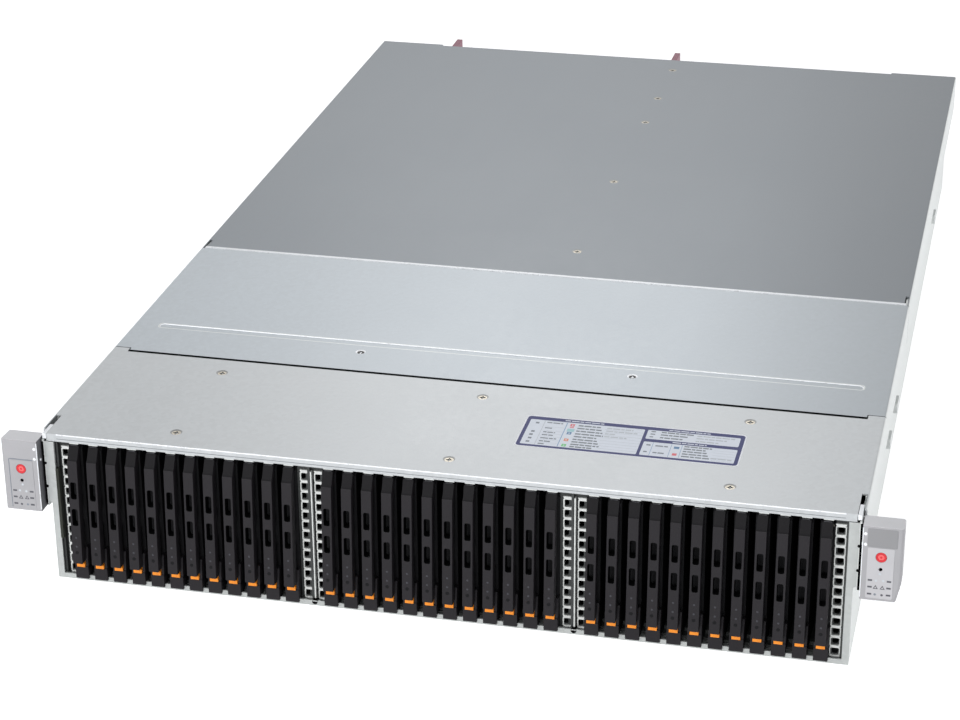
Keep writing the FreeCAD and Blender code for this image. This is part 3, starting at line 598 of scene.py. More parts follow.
def make_cover(node, name, sheet, spots, body, clear=3.3, steel=SCREW):
    """A cover in its sheet, with its sides painted light, its seam edges painted black as shade,
    its bead's sides painted as a highlight, and its screws.
    """
    piece = coat(from_solid(node, name), sheet)
    with Shaping(piece) as tool:
        tool.faces(facing("z"), lambda place, normal: place.z > 86.9).move(0, 0, ROOF - FRAME_TOP)
    if node == "front_cover":
        carve(piece, block("seam_cut", (-LIP_END, SEAM - 2.5, 85.0), (LIP_END, SEAM + 4, 89)))
    ease(piece, 0.22)
    with Shaping(piece) as tool:
        # painted light: the outer sides take the lighter zinc, as if lit from the right
        tool.faces(lambda place, normal: abs(place.x) > 218.0 and abs(normal.x) > 0.4).paint(ZINC)
        # painted shade: the faces of the seam's gap are painted near black
        if node != "rear_cover":
            tool.faces(lambda place, normal: abs(place.y - SEAM) < 3.2
                       and abs(normal.y) > SQUARE).paint(PIT_PAINTED_SHADE)
        # painted highlight: the bead's sloping sides are painted near white
        if node == "fan_cover":
            tool.faces(lambda place, normal: abs(place.y - BEAD) < 3.4 and 86.2 < place.z < 86.93
                       and abs(normal.z) < 0.98).paint(PAINTED_HIGHLIGHT)
    for x, y in spots:
        carve(piece, screw_seat(x, y, clear))
        # the seats get a painted shade, or a painted highlight round the fan cover's darkened
        # screws
        with Shaping(piece) as tool:
            tool.faces(lambda place, normal: (place.xy - Vector((x, y))).length < clear + 0.1
                       and place.z < ROOF - 0.05
                       ).paint(SEAT_PAINTED_SHADE if steel == SCREW else PAINTED_HIGHLIGHT)
    finish(even_shading(piece), body, "cover_steel", node)
    for number, (x, y) in enumerate(spots):
        screw = countersunk_screw("%s_screw_%d" % (name, number + 1), x, y, steel)
        finish(screw, body, "cover_steel")


def make_bead_highlight():
    """A lighter zinc rim round the fan cover's pressed bead, a painted highlight."""
    rim = block("bead_rim_highlight", (-204.0, BEAD - 3.5, ROOF - 0.1), (204.0, BEAD + 3.5, ROOF + 0.03))
    hollow = block("hollow", (-203.1, BEAD - 2.75, ROOF - 1), (203.1, BEAD + 2.75, ROOF + 1))
    bevelled(rim, 2.4, 4, along("z", 0.1))
    carve(rim, bevelled(hollow, 1.8, 4, along("z", 0.1)))
    finish(even_shading(coat(rim, ZINC)), "fan_cover", "cover_steel")


def dress_edges():
    """The front fold with a painted highlight, the painted shadow line and tabs under it, the rear
    roof's hem with a painted highlight and the seam's depth in painted shade.
    """
    fold = block("lip_fold_highlight", (-208.8, -0.15, 86.2), (208.8, 0.4, 86.9))
    under = block("lip_shadow", (-208.6, -0.1, 84.0), (208.6, 0.3, 84.35))
    on_chassis(dress(fold, PAINTED_HIGHLIGHT, 0.18, 2), dress(under, SHADOW_GREY, 0.08),
               slot="cover_steel")
    tab = block("tab", (-2.6, 0.1, 81.75), (2.6, 1.6, 82.75))
    bevelled(tab, 0.4, 2, both(lambda end: end.y < 0.2 and end.z < 82))
    dress(tab, ZINC, 0.1)
    for number in range(1, 37):
        middle = middle_of("drive_%02d" % number)
        on_chassis(copy(tab, "spring_tab_%02d" % number, middle + 0.6), slot="cover_steel")
    discard(tab)
    hem = block("rear_roof_hem_highlight", (-216.4, 266.9, 86.2), (216.4, 269.4, 86.995))
    bevelled(hem, 0.35, 3, both(lambda end: end.y < 267 and end.z > 86.9))
    # painted shade: a black strip under the seam's gap
    depth = block("seam_depth_shade", (-208.0, SEAM - 3.4, 84.7), (208.0, SEAM + 1.5, 85.0))
    on_chassis(coat(hem, PAINTED_HIGHLIGHT), dress(depth, PIT_PAINTED_SHADE, 0.08), slot="cover_steel")


make_cover("front_cover", "front_roof", COVER_FRONT_PAINTED_REFLECTION,
           [(x, y) for x in (-147, 2, 148.4) for y in (16, 92.5)], "chassis")
make_cover("fan_cover", "fan_roof", COVER_FAN_PAINTED_REFLECTION, [(-79, 135.8), (77, 135.8)], "fan_cover",
           2.9, SCREW_PAINTED_SHADE)
make_bead_highlight()
make_cover("rear_cover", "rear_roof", COVER_REAR_PAINTED_SHADE,
           [(11.5, y) for y in (309, 434, 555, 608, 674)], "chassis")
dress_edges()


# ------------ label

def make_label():
    """The service label: a bordered table with icons and plain lines instead of words."""
    patches = []
    under = 2.6     # the level of lines that lie below the print

    def sheet(ink, x0, y0, x1, y1, low, high, corner, segments=4):
        """A sheet of the label with rounded corners."""
        layer = block("label_sheet", (x0, y0, ROOF + low), (x1, y1, ROOF + high))
        patches.append(coat(bevelled(layer, corner, segments, along("z", 0.01)), ink))

    def add(ink, x0, y0, x1, y1, level=3):
        """A thin printed patch at a level above the roof."""
        top = ROOF + 0.012 * level
        patches.append(coat(block("label_print", (x0, y0, top - 0.01), (x1, y1, top)), ink))

    def row(ink, x, y, length, height=1.3, seed=0):
        """A row of short dashes, as wide as words would be."""
        place = x
        step = seed
        while place < x + length - 0.5:
            step += 1
            wide = 1.6 + (step * 37 % 11) * 0.28
            add(ink, place, y - height / 2, min(place + wide, x + length), y + height / 2)
            place += wide + 0.45

    sheet(PAPER_EDGE, 31.0, 38.8, 149.2, 76.2, -0.02, 0.006, 2.4)
    sheet(NAVY, 31.7, 39.5, 148.5, 75.1, -0.02, 0.016, 2.0)
    for cell in ((33.7, 41.7, 95.4, 71.4), (97.1, 61.0, 146.3, 71.6), (97.1, 41.7, 146.5, 57.6)):
        sheet(PAPER, *cell, 0, 0.026, 0.7, 3)
    row(PAPER, 52.0, 73.2, 21.0, 1.0, 3)
    row(PAPER, 108.0, 73.2, 22.0, 1.0, 5)
    row(PAPER, 112.0, 59.3, 18.0, 1.0, 7)
    add(BLUE, 53.4, 42.2, 53.9, 71.0, under)
    add(PALE, 41.4, 42.2, 41.7, 71.0, under)
    for number, y in enumerate((69.0, 62.5, 57.6, 54.2, 50.4, 46.8, 43.6)):
        row(GREY, 43.0, y, (8.5, 4.5, 6.5, 6.0, 8.5, 6.0, 4.0)[number], 1.2, number)
        add(PALE, 42.0, y + 1.6, 53.2, y + 1.8, under)
    for x, y in ((38.0, 67.6), (37.6, 57.2), (37.4, 53.4), (37.6, 49.2), (37.3, 45.0)):
        row(GREY, x - 1.0, y, 2.6, 1.8, 2)
    for number, y in enumerate((68.6, 65.3, 62.0, 58.7, 55.4, 52.1, 49.1, 46.1, 43.4)):
        row(GREY, 60.0, y, 12.0 + number * 5 % 4, 1.5, number)
        if number < 4:
            row(PALE, 75.5, y, (14.0, 17.5, 6.0, 12.0)[number], 1.3, number)
        add(PALE, 74.5, y - 1.75, 95.0, y - 1.5, under)
    for ink, y in ((ROSE, 68.3), (STEEL_BLUE, 58.7), (PEACH, 50.6), (MINT, 44.2)):
        add(ink, 55.6, y - 1.5, 58.0, y + 1.5)
        add(PAPER, 56.4, y - 0.5, 57.2, y + 0.5, 4)
    add(TEAL, 55.0, 60.6, 58.9, 64.0, under)
    row(ROSE, 55.8, 65.6, 2.2, 1.0, 1)
    for number, y in enumerate((69.9, 66.9, 63.6)):
        row(GREY, 104.5, y, 17.0 - number * 2.5, 1.4, number)
        row(PALE, 123.5, y - 0.4, 20.0 - number * 4, 1.2, number)
        row(GREY, 99.0, y, 2.4, 1.2, number)
    for x in (102.2, 112.0, 117.6):
        add(BLUE, x - 0.14, 42.2, x + 0.14, 57.2, under)
    row(GREY, 99.0, 53.9, 2.2, 1.4, 1)
    row(GREY, 98.6, 45.9, 2.4, 1.4, 2)
    row(GREY, 103.8, 53.7, 6.6, 1.4, 4)
    row(GREY, 103.6, 45.7, 6.2, 1.4, 5)
    add(STEEL_BLUE, 113.6, 52.3, 116.4, 54.9)
    add(ROSE, 113.8, 44.4, 116.2, 47.0)
    for number, y in enumerate((55.9, 53.1, 50.2, 47.3, 44.4)):
        row(GREY, 118.8, y, 14.5 - number * 3 % 4, 1.4, number)
        add(PALE, 134.5, y - 1.5, 146.0, y - 1.3, under)
    row(PALE, 134.0, 45.0, 11.0, 1.2, 6)
    on_chassis(join("service_label", *patches), slot="cover_steel")


make_label()


# ------------ chassis and cage

RUNG = 5.8      # from one vent hole to the next
# The middle of the left divider. The right one is its mirror image.
DIVIDER = (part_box("drive_12")[1][0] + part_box("drive_13")[0][0]) / 2 / MM


def dress_solid(node, material, body, slot, *eased):
    """A frame solid's finished copy, with its edges eased."""
    piece = coat(from_solid(node, node + "_dressed"), material)
    finish(ease(piece, *eased), body, slot, node)


def make_pan():
    """The chassis pan with its flanges' grey front faces."""
    pan = ease(coat(from_solid("chassis_base", "chassis_pan"), ZINC), 0.2)
    with Shaping(pan) as tool:
        tool.faces(lambda place, normal: normal.y < -0.7 and place.y < 1.5).paint(FLANGE_SHEET)
    finish(pan, "chassis", "galvanised", "chassis_base")


def make_cage():
    """The drive cage, its vent holes' corners rounded, its sheet darkened as painted shade."""
    cage = coat(from_solid("drive_cage", "cage"), VENT_PAINTED_SHADE)
    with Shaping(cage) as tool:
        tool.edges(lambda a, b: abs(a.x - b.x) < 0.01 and abs(a.z - b.z) < 0.01
                   and 4.9 < min(a.y, b.y) and max(a.y, b.y) < 6.3
                   and abs(abs(a.y - b.y) - 1.2) < 0.02 and 2.9 < a.z < 77.5).bevel(1.1, 3)
    finish(ease(cage, 0.28), "chassis", "galvanised", "drive_cage")


def make_ladder():
    """A vent column: a bright ladder of rounded frames that stands before the cage's strip."""
    ladder = block("ladder", (-2.82, 3.6, 1.8), (2.82, 4.9, 78.6))
    spots = [(0, 5 + RUNG * step, 2.15, 0.6) for step in range(13)]
    spots += [(x, 2.1 + RUNG * step, 0.6, 0.5) for step in range(14) for x in (-3.1, 3.1)]
    holes = []
    for x, z, half, corner in spots:
        hole = block("hole", (x - half, 3, z - half), (x + half, 6, z + half))
        holes.append(bevelled(hole, corner, 2, along("y", 1)))
    return dress(carve(ladder, *holes), VENT_BRIGHT, 0.14)


def make_columns():
    """The six vent columns. Those with a drive at their right end at its case."""
    ladder = make_ladder()
    columns = ((-205.1, -203.55), (-DIVIDER - 2.4, None), (-DIVIDER + 5.3, -DIVIDER + 6.9),
               (DIVIDER - 2.4, None), (DIVIDER + 5.3, DIVIDER + 6.9), (206.4, None))
    for number, (x, limit) in enumerate(columns):
        column = copy(ladder, "vent_ladder_%d" % (number + 1), x)
        if limit:
            carve(column, block("limit", (limit, 2, 0), (limit + 6, 6, 82)))
        on_chassis(column)
    discard(ladder)


def dress_side(side):
    """A divider's web and floor mouth, and a front flange's plate, gaps, holes and tongue."""
    post = side * DIVIDER + 1.35
    web = block("vent_web", (post - 0.38, 1.4, 3.0), (post + 0.38, 4.0, 79.0))
    on_chassis(dress(web, VENT_BRIGHT, 0.15, 2))
    # painted shade: the floor mouth, the end and flange gaps and the flange holes are near-black
    # stand-ins for the shade in them
    mouth = turned("floor_mouth", (post, 1.0, 2.2), 1.5, 2.2)
    with Shaping(mouth) as tool:
        tool.slice(2.2)
        tool.faces(facing("y", -1), lambda place, normal: place.z > 2.2).inset(0.3, -0.2)
    shadow = side_block("end_gap", side, (209.25, 3.4, 1.5), (210.35, 5.0, 79.0))
    plate = side_block("flange_plate", side, (210.5, -0.4, 45.5), (216.0, 0.6, 82.3))
    bevelled(plate, 1.8, 2, both(lambda end: abs(end.x) > 215.9 and end.z < 46))
    gap = side_block("flange_shadow", side, (216.05, -0.55, 44.5), (217.3, 0.3, 82.2))
    on_chassis(coat(mouth, PIT_PAINTED_SHADE), dress(shadow, PIT_PAINTED_SHADE, 0.1),
               dress(plate, FLANGE_SHEET, 0.15, 2), dress(gap, PIT_PAINTED_SHADE, 0.1))
    for z in (55.6, 69.4):
        hole = turned("flange_hole", (side * 215.9, -0.3, z), 0.85, 0.6, sides=20)
        on_chassis(dress(hole, PIT_PAINTED_SHADE, 0.1))
    tongue = side_block("bracket_tongue", side, (214.5, 0.2, 83.6), (216.7, 13.0, 86.5))
    bevelled(tongue, 1.5, 3, both(lambda end: end.y > 12 and end.z > 86))
    # painted highlight: the bracket tongue is painted near white
    on_chassis(dress(tongue, PAINTED_HIGHLIGHT, 0.2, 2))


make_pan()
make_cage()
make_columns()
for side in (-1, 1):
    dress_side(side)
strip = block("olive_guide", (-210.7, -0.2, 24.0), (-209.0, 4.0, 66.3))
bevelled(strip, 0.8, 2, along("x", 1), both(lambda end: end.y < 0))
on_chassis(dress(strip, OLIVE, 0.2, 2))
board = coat(from_solid("backplane", "backplane_board"), BOARD_GREEN)
finish(board, "chassis", "board", "backplane")
dress_solid("ear_brackets", ZINC, "chassis", "galvanised", 0.2)


# ------------ drives

CASE_HALF = 3.7             # half a drive's width
BAR_HALF = 2.75             # half its lever's
FOOT_Y, FOOT_Z = -6.2, 13.0  # the lever's lower front edge
KNEE_Z, LEAN = 69.3, 3.0    # where it bends, and how far it leans back there
PIN_Y, PIN_Z = 5.6, 76.6    # the pin that the last drive's lever turns on


def make_carrier():
    """A drive's case with its foot and the two posts beside the latch."""
    case = block("case", (-CASE_HALF, 3.6, 3.2), (CASE_HALF, 111.6, 79.2))
    with Shaping(case) as tool:
        tool.edges(both(lambda end: end.y < 4 and end.z > 79)).bevel(1.4, 1)
        for side in (-1, 1):
            tool.faces(facing("x", side)).inset(2.5).inset(0.6, -0.3)
    foot = block("foot", (-CASE_HALF, -1.2, 1.3), (CASE_HALF, 4.2, 8.75))
    with Shaping(foot) as tool:
        tool.faces(facing("y", -1)).inset(0.7, -0.15)
    left = block("post", (-CASE_HALF, -1.0, 7.5), (-2.6, 4.0, 12.0))
    right = block("post", (2.3, -0.7, 7.5), (CASE_HALF, 4.0, 12.0))
    with Shaping(right) as tool:
        tool.faces(facing("z")).inset(0.1).move(0.35, 0.6, 8.2)
    spine = block("spine", (-3.0, 1.2, 7.5), (3.0, 4.0, 16.0))
    bevelled(spine, 2.4, 1, both(lambda end: end.y < 2 and end.z > 15))
    return [dress(case, DRIVE_CASE, 0.25, 2),
            *[dress(part, DRIVE_BLACK, 0.2, 2) for part in (foot, left, right, spine)]]


def make_latch():
    """The orange button between the posts."""
    latch = block("latch", (-2.4, -1.95, 8.8), (2.2, 1.3, 10.9))
    with Shaping(latch) as tool:
        tool.edges(both(lambda end: end.y < -1 and end.z > 10)).bevel(0.6, 3)
        tool.faces(facing("y", -1)).inset(0.4, -0.1)
    return dress(latch, LATCH_ORANGE, 0.2, 2)


def window_cutter(z):
    """A lever window's cutter, its corners rounded."""
    cutter = block("window", (-1.6, -9, z - 4.9), (1.6, 4.5, z + 4.9))
    return bevelled(cutter, 0.9, 4, along("y", 5))


def make_lever(rest):
    """The ejector lever: a leaning bar with two windows, lenses and a cap at its rest."""
    bar = block("bar", (-BAR_HALF, FOOT_Y, FOOT_Z), (BAR_HALF, -0.7, KNEE_Z))
    with Shaping(bar) as tool:
        tool.faces(facing("z")).move(0, LEAN, 0)
        tool.extrude(0, 0.2, 4.0)
        tool.extrude(0, 1.2, 0.9)
        tool.extrude(0, 3.0, 6.2)
        tool.edges(lambda a, b: min(a.z, b.z) > 73 and min(a.y, b.y) > 2).flatten(rest)
        tool.edges(lambda a, b: min(a.z, b.z) > 80 and max(a.y, b.y) < 1.5).flatten(rest - 2.0)
    for z in (40.4, 56.0):
        carve(bar, window_cutter(z))
    with Shaping(coat(bar, DRIVE_BLACK)) as tool:
        # painted shade: the windows' inner walls are painted near black
        tool.faces(lambda place, normal: abs(place.x) < 1.6 and 35 < place.z < 62
                   and abs(normal.y) < 0.5).paint(PIT_PAINTED_SHADE)
        tool.faces(lambda place, normal: place.z > 73.5 and normal.y < -0.3).paint(DRIVE_CAP)
    parts = [ease(bar, 0.25)]
    for z, radius, ink in ((28.4, 0.6, LENS_GREY), (23.2, 0.6, LENS_GREY), (19.6, 1.0, DRIVE_CASE)):
        face = FOOT_Y + LEAN * (z - FOOT_Z) / (KNEE_Z - FOOT_Z)
        lens = turned("lens", (0, face + 0.15, z), radius, 0.5, sides=16)
        parts.append(dress(lens, ink, 0.12))
    # painted highlight: a light strip for the cap's top catching the light
    cap_highlight = block("cap_highlight", (-2.0, rest - 1.9, 80.1), (2.0, rest - 1.4, 80.55))
    return [*parts, dress(cap_highlight, CAP_PAINTED_HIGHLIGHT, 0.08)]


def make_drives():
    """Thirty-five drives from one master, and the last one with a lever of its own on a pin."""
    master = join("master", *make_carrier(), make_latch(), *make_lever(3.6))
    for number in range(1, 36):
        node = "drive_%02d" % number
        finish(copy(master, node + "_dressed", middle_of(node)), node, "drive_plastic", node)
    case, *others = make_carrier()
    carve(case, block("pocket", (-3.05, 0, 73.6), (3.05, 8.5, 82)))
    pin = turned("pin", (0, PIN_Y, PIN_Z), 0.8, 6.9, "X", 20)
    drive = join("drive", case, *others, make_latch(), coat(pin, SCREW))
    lug = block("lug", (-BAR_HALF, 2.0, 74.9), (BAR_HALF, 7.5, 78.3))
    bevelled(lug, 1.2, 4, along("x", 1), both(lambda end: end.y > 7))
    carve(lug, turned("bore", (0, PIN_Y, PIN_Z), 0.86, 8, "X", 20))
    lever = join("lever", *make_lever(3.3), dress(lug, DRIVE_BLACK, 0.12, 2))
    middle = middle_of("drive_36")
    for piece, node in ((drive, "drive_36"), (lever, "drive_lever")):
        finish(copy(piece, node + "_dressed", middle), node, "drive_plastic", node)
    discard(master, drive, lever)


make_drives()


# ------------ ears

EAR_MIDDLE = 227.5  # how far right the right ear's controls stand
BUTTON_Z = 67.5
PINHOLE_Z = 60.7
PANEL_Y = -6.3      # the front of an ear's inset panel


def mark_triangle(x, z):
    """A small triangular outline."""
    ring = turned("mark", (x, PANEL_Y, z), 1.5, 0.2, sides=3)
    return coat(carve(ring, turned("mark_hole", (x, PANEL_Y, z), 0.7, 1, sides=3)), MARK_GREY)


def make_ear(side):
    """An ear, drawn on the right: housing, inset panel, button hole and small marks, with painted
    light and shade on its faces and painted highlights on its edge and knobs.
    """
    low, high = box_mm("ear_right")
    shell = block("shell", (217.7, low.y + 0.25, low.z), (high.x, high.y, high.z))
    with Shaping(shell) as tool:
        tool.edges(along("z", 1), both(lambda end: end.x > high.x - 1 and end.y < 0)).bevel(1.6, 4)
        tool.edges(along("y", 3), both(lambda end: end.x > high.x - 3 and end.z > high.z - 1)
                   ).bevel(1.2, 3)
        if side == "right":
            tool.slice(53.0)
            tool.edges(both(lambda end: end.z < 44 and end.x > high.x - 3)).move(-2.2, 0, 0)
    carve(shell, turned("hole", (EAR_MIDDLE, -4.6, BUTTON_Z), 2.9, 6.5, sides=32))
    carve(shell, turned("pinhole", (EAR_MIDDLE, -5, PINHOLE_Z), 1.0, 4, sides=20))
    with Shaping(dress(shell, EAR_GREY, 0.35, 3)) as tool:
        # painted shade on the inner side
        tool.faces(lambda place, normal: normal.x < -0.7 and place.x < 219).paint(EAR_INNER_PAINTED_SHADE)
        # painted shade: the walls of the button hole and pinhole are painted near black
        tool.faces(lambda place, normal: place.y > -6 and abs(place.x - EAR_MIDDLE) < 3.5
                   and abs(place.z - 65) < 7 and abs(normal.x) + abs(normal.z) + normal.y > -0.95
                   ).paint(PIT_PAINTED_SHADE)
        tool.faces(lambda place, normal: 218.1 < place.x < 218.3 or normal.x > 0.7).paint(EAR_GREY)
        # painted light on the top slope
        tool.faces(lambda place, normal: normal.z > 0.35 and place.z > 82).paint(EAR_TOP_PAINTED_LIGHT)
    panel = block("panel", (220.7, -6.38, 44.2), (233.9, -5.9, 72.6))
    bevelled(panel, 0.7, 3, along("y", 0.1))
    carve(panel, turned("hole", (EAR_MIDDLE, -6.2, BUTTON_Z), 2.85, 3, sides=32))
    carve(panel, turned("pinhole", (EAR_MIDDLE, -6.2, PINHOLE_Z), 1.0, 3, sides=20))
    parts = [shell, dress(panel, EAR_PANEL if side == "right" else EAR_GREY, 0.12, 2)]
    if side == "right":
        # painted shade: a darker plate over the upper front
        upper_shade = block("upper_shade", (220.2, -6.34, 72.9), (235.2, -5.9, 83.2))
        parts.append(dress(bevelled(upper_shade, 0.5, 2, along("y", 0.1)), EAR_PAINTED_SHADE, 0.12, 2))
    else:
        for first, last in (((220.6, PANEL_Y, 72.8), (233.9, -5.9, 73.3)),
                            ((234.0, PANEL_Y, 44.2), (234.4, -5.9, 73.0))):
            parts.append(dress(block("seam", first, last), GREY, 0.08))
    for z in (54.3, 50.5, 46.5):
        for x in (222.6, 232.0):
            dash = block("dash", (x - 1.15, -6.4, z - 0.55), (x + 1.15, -6.2, z + 0.55))
            parts.append(dress(dash, MARK_GREY, 0.06))
    parts += [mark_triangle(x, 50.3) for x in (225.5, 228.9)]
    for x, z, ink in ((225.4, 46.4, GREY), (228.8, 46.3, MARK_GREY), (225.6, 54.3, PALE),
                      (229.2, 54.5, PALE), (227.3, 58.2, PALE)):
        parts.append(dress(turned("spot", (x, PANEL_Y, z), 0.7, 0.2, sides=12), ink, 0.05))
    # painted highlight: three bright knobs and a bright strip at the inner edge
    for middle, axis in (((217.6, -2.2, 72.2), "X"), ((219.2, -6.1, 79.9), "Y"),
                         ((219.4, -6.1, 74.0), "Y")):
        parts.append(dress(turned("bump", middle, 0.9, 0.6, axis, 20), PAINTED_HIGHLIGHT, 0.2, 2))
    edge = block("edge", (217.66, -6.2, 44.0), (218.2, -5.7, 83.4))
    return [*parts, dress(edge, PAINTED_HIGHLIGHT, 0.1)]


def make_button():
    """A red ring round a pale cap with a red middle."""
    button = turned("button_right_dressed", (EAR_MIDDLE, -4.4, BUTTON_Z), 2.68, 4.0, sides=40)
    with Shaping(button) as tool:
        tool.faces(facing("y", -1)).inset(1.0).extrude(0, 0.35, 0)
        tool.inset(0.12).extrude(0, -0.25, 0).paint(BUTTON_CORAL)
        tool.inset(0.95).extrude(0, 0.15, 0)
    button.data.materials.append(BUTTON_RED)
    middle = Vector((EAR_MIDDLE, BUTTON_Z))
    with Shaping(button) as tool:
        tool.faces(lambda place, normal: normal.y > -0.9 or place.y < -6.39).paint(BUTTON_RED)
        tool.faces(facing("y", -1),
                   lambda place, normal: (place.xz - middle).length < 0.3).paint(BUTTON_RED)
    return ease(button, 0.1)


def make_ears():
    """Both ears and their buttons. The left ones are drawn on the right and flipped."""
    right = join("ear_right_dressed", *make_ear("right"))
    drawn = join("drawn_left", *make_ear("left"))
    left = flipped(drawn, "ear_left_dressed")
    discard(drawn)
    finish(right, "chassis", "ear_plastic", "ear_right")
    finish(left, "chassis", "ear_plastic", "ear_left")
    right = make_button()
    left = flipped(right, "button_left_dressed")
    finish(right, "power_button_right", "button_plastic", "power_button_right")
    finish(left, "power_button_left", "button_plastic", "power_button_left")


make_ears()


# ------------ fans, sleds, supplies, tabs

def make_sled(side):
    """A sled's tray with its board and finned heat sinks in their own finishes."""
    node = "node_sled_" + side
    sled = coat(from_solid(node, node + "_dressed"), ZINC)
    low, high = box_mm(node)

    def inside(place, normal):
        return low.x + 2 < place.x < high.x - 2 and place.y < 693.8

    with Shaping(sled) as tool:
        tool.faces(inside, lambda place, normal: place.z > 7).paint(BOARD_GREEN)
        tool.faces(inside, lambda place, normal: place.z > 9.05 and place.y < 640
                   and abs(place.x - (low.x + high.x) / 2) < 40).paint(ALUMINIUM)
        tool.faces(inside, lambda place, normal: place.z > 51).paint(ALUMINIUM)
    finish(ease(sled, 0.25), node, "galvanised", node)


dress_solid("fan_frames", FAN_BLACK, "chassis", "fan_plastic", 0.4)
for node in ("fan_rotor_1", "fan_rotor_2", "fan_rotor_3", "fan_rotor_4"):
    dress_solid(node, FAN_BLACK, node, "fan_plastic", 0.3)
for side in ("left", "right"):
    make_sled(side)
    dress_solid("node_latch_" + side, MAROON, "node_latch_" + side, "release_plastic", 0.5, 3)
    dress_solid("psu_" + side, PSU_ZINC, "psu_" + side, "psu_steel", 0.3)


# ------------ rear panels

PANEL_BACK = 695.0  # the sleds' rear panels
SUPPLY_BACK = 697.5  # the supplies' rear faces
FAN_Z = 55.1    # the middle of a supply's fan
COLUMN, ROW = 4.1, 3.5  # a vent grid's steps


def make_grid(name, width, height):
    """A plate of staggered six-sided holes over a black backing of painted shade, from at(0, 0, 0).
    """
    plate = block(name, (0, 0.12, 0), (width, 0.6, height))
    cutters = []
    for row in range(int((height - 3) / ROW)):
        for column in range(int((width - 5) / COLUMN)):
            x = 3.3 + column * COLUMN + row % 2 * COLUMN / 2
            if x < width - 2.4:
                cutters.append(turned("hole", (x, 0.3, 3.2 + row * ROW), 1.75, 2, sides=6))
    dress(carve(plate, *cutters), ZINC, 0.06, 1, 60)
    shade_backing = block("shade_backing", (0.6, 0.02, 0.6), (width - 0.6, 0.14, height - 0.6))
    return join(name, plate, dress(shade_backing, PIT_PAINTED_SHADE, 0.04))


def make_port(low, high, back, tongue, share):
    """A socket: a metal frame round a hole painted dark as painted shade, its tongue a share of its
    height.
    """
    port = block("port", (low[0], back - 9, low[1]), (high[0], back, high[1]))
    with Shaping(coat(port, PORT_METAL)) as tool:
        tool.edges(both(lambda end: end.y > back - 1)).bevel(0.25, 1)
        tool.faces(facing("y")).inset(0.5).extrude(0, -7, 0)
        # painted shade: the socket's inside walls are painted near black
        tool.faces(lambda place, normal: back - 7.1 < place.y < back - 0.6
                   and low[0] + 0.3 < place.x < high[0] - 0.3
                   and low[1] + 0.3 < place.z < high[1] - 0.3).paint(PIT_PAINTED_SHADE)
    middle = (low[1] + high[1]) / 2
    half = (high[1] - low[1]) * share / 2
    tab = block("tongue", (low[0] + 1.3, back - 7, middle - half),
                (high[0] - 1.3, back - 1, middle + half))
    return [even_shading(port), dress(tab, tongue, 0.15)]


def thumb_screw(x, z):
    """A captive screw with a grooved head."""
    head = turned("thumb_screw", (x, PANEL_BACK + 2.4, z), 2.8, 4.8)
    with Shaping(head) as tool:
        tool.faces(lambda place, normal: abs(normal.y) < 0.3).inset(0.12, -0.15)
        tool.faces(facing("y")).inset(0.8, -0.4)
    return dress(head, SCREW, 0.1)


def dress_rear(side):
    """Grids, sockets, card bracket, lamps and thumb screws on one sled's rear panel."""
    start = box_mm("node_sled_" + side)[0].x

    def port(x0, z0, x1, z1, proud, tongue, share):
        return make_port((start + x0, z0), (start + x1, z1), PANEL_BACK + proud, tongue, share)

    parts = [copy(upper_grid, "fine", start + 11, PANEL_BACK, 50),
             copy(lower_grid, "coarse", start + 74, PANEL_BACK, 6),
             *port(18.0, 10.0, 31.4, 24.4, 0.5, CONTACT_GOLD, 0.1),
             *port(33.2, 10.0, 46.6, 17.0, 0.5, PORT_BLUE, 0.28),
             *port(33.2, 17.4, 46.6, 24.4, 0.5, PORT_BLUE, 0.28),
             *port(48.6, 12.4, 66.0, 22.2, 0.5, PORT_BLUE, 0.62)]
    plate = block("bracket", (start + 95.6, PANEL_BACK - 0.8, 52.0),
                  (start + 162.0, PANEL_BACK + 0.3, 71.0))
    parts.append(dress(bevelled(plate, 1.0, 2, along("y", 0.5)), PORT_METAL, 0.15))
    for x in (100.0, 123.0):
        parts += port(x, 55.5, x + 19.4, 65.6, 0.9, PIT_PAINTED_SHADE, 0.2)
    # painted shade: black discs stand in for vent holes
    for number in range(5):
        place = (start + 147.0 + number * 2.9, PANEL_BACK + 0.34, 57.5)
        parts.append(dress(turned("vent", place, 1.0, 0.16, sides=12), PIT_PAINTED_SHADE, 0.04))
    for number in range(3):
        place = (start + 148.0 + number * 4.0, PANEL_BACK + 0.4, 66.0)
        parts.append(dress(turned("led", place, 0.8, 0.5, sides=16), LED_GREEN, 0.15, 2))
    parts += [thumb_screw(start + 164.5, 30.0), thumb_screw(start + 89.5, 76.0)]
    finish(join("rear_fittings_" + side, *parts), "node_sled_" + side, "galvanised")


def make_guard(middle):
    """A supply's fan guard of rings and spokes."""
    parts = []
    for radius in (15.6, 11.6, 7.6):
        clear_bench()
        bpy.ops.mesh.primitive_torus_add(
            major_radius=radius * MM, minor_radius=0.5 * MM, major_segments=48, minor_segments=8,
            location=at(middle, SUPPLY_BACK - 0.7, FAN_Z), rotation=(math.pi / 2, 0, 0))
        parts.append(even_shading(coat(settle(bpy.context.object), PORT_METAL)))
    for number in range(3):
        clear_bench()
        bpy.ops.mesh.primitive_cylinder_add(
            vertices=10, radius=0.5 * MM, depth=33.2 * MM, rotation=(0, number * math.pi / 3, 0),
            location=at(middle, SUPPLY_BACK - 1.2, FAN_Z))
        parts.append(dress(settle(bpy.context.object), PORT_METAL, 0.1, 1, 60))
    return parts


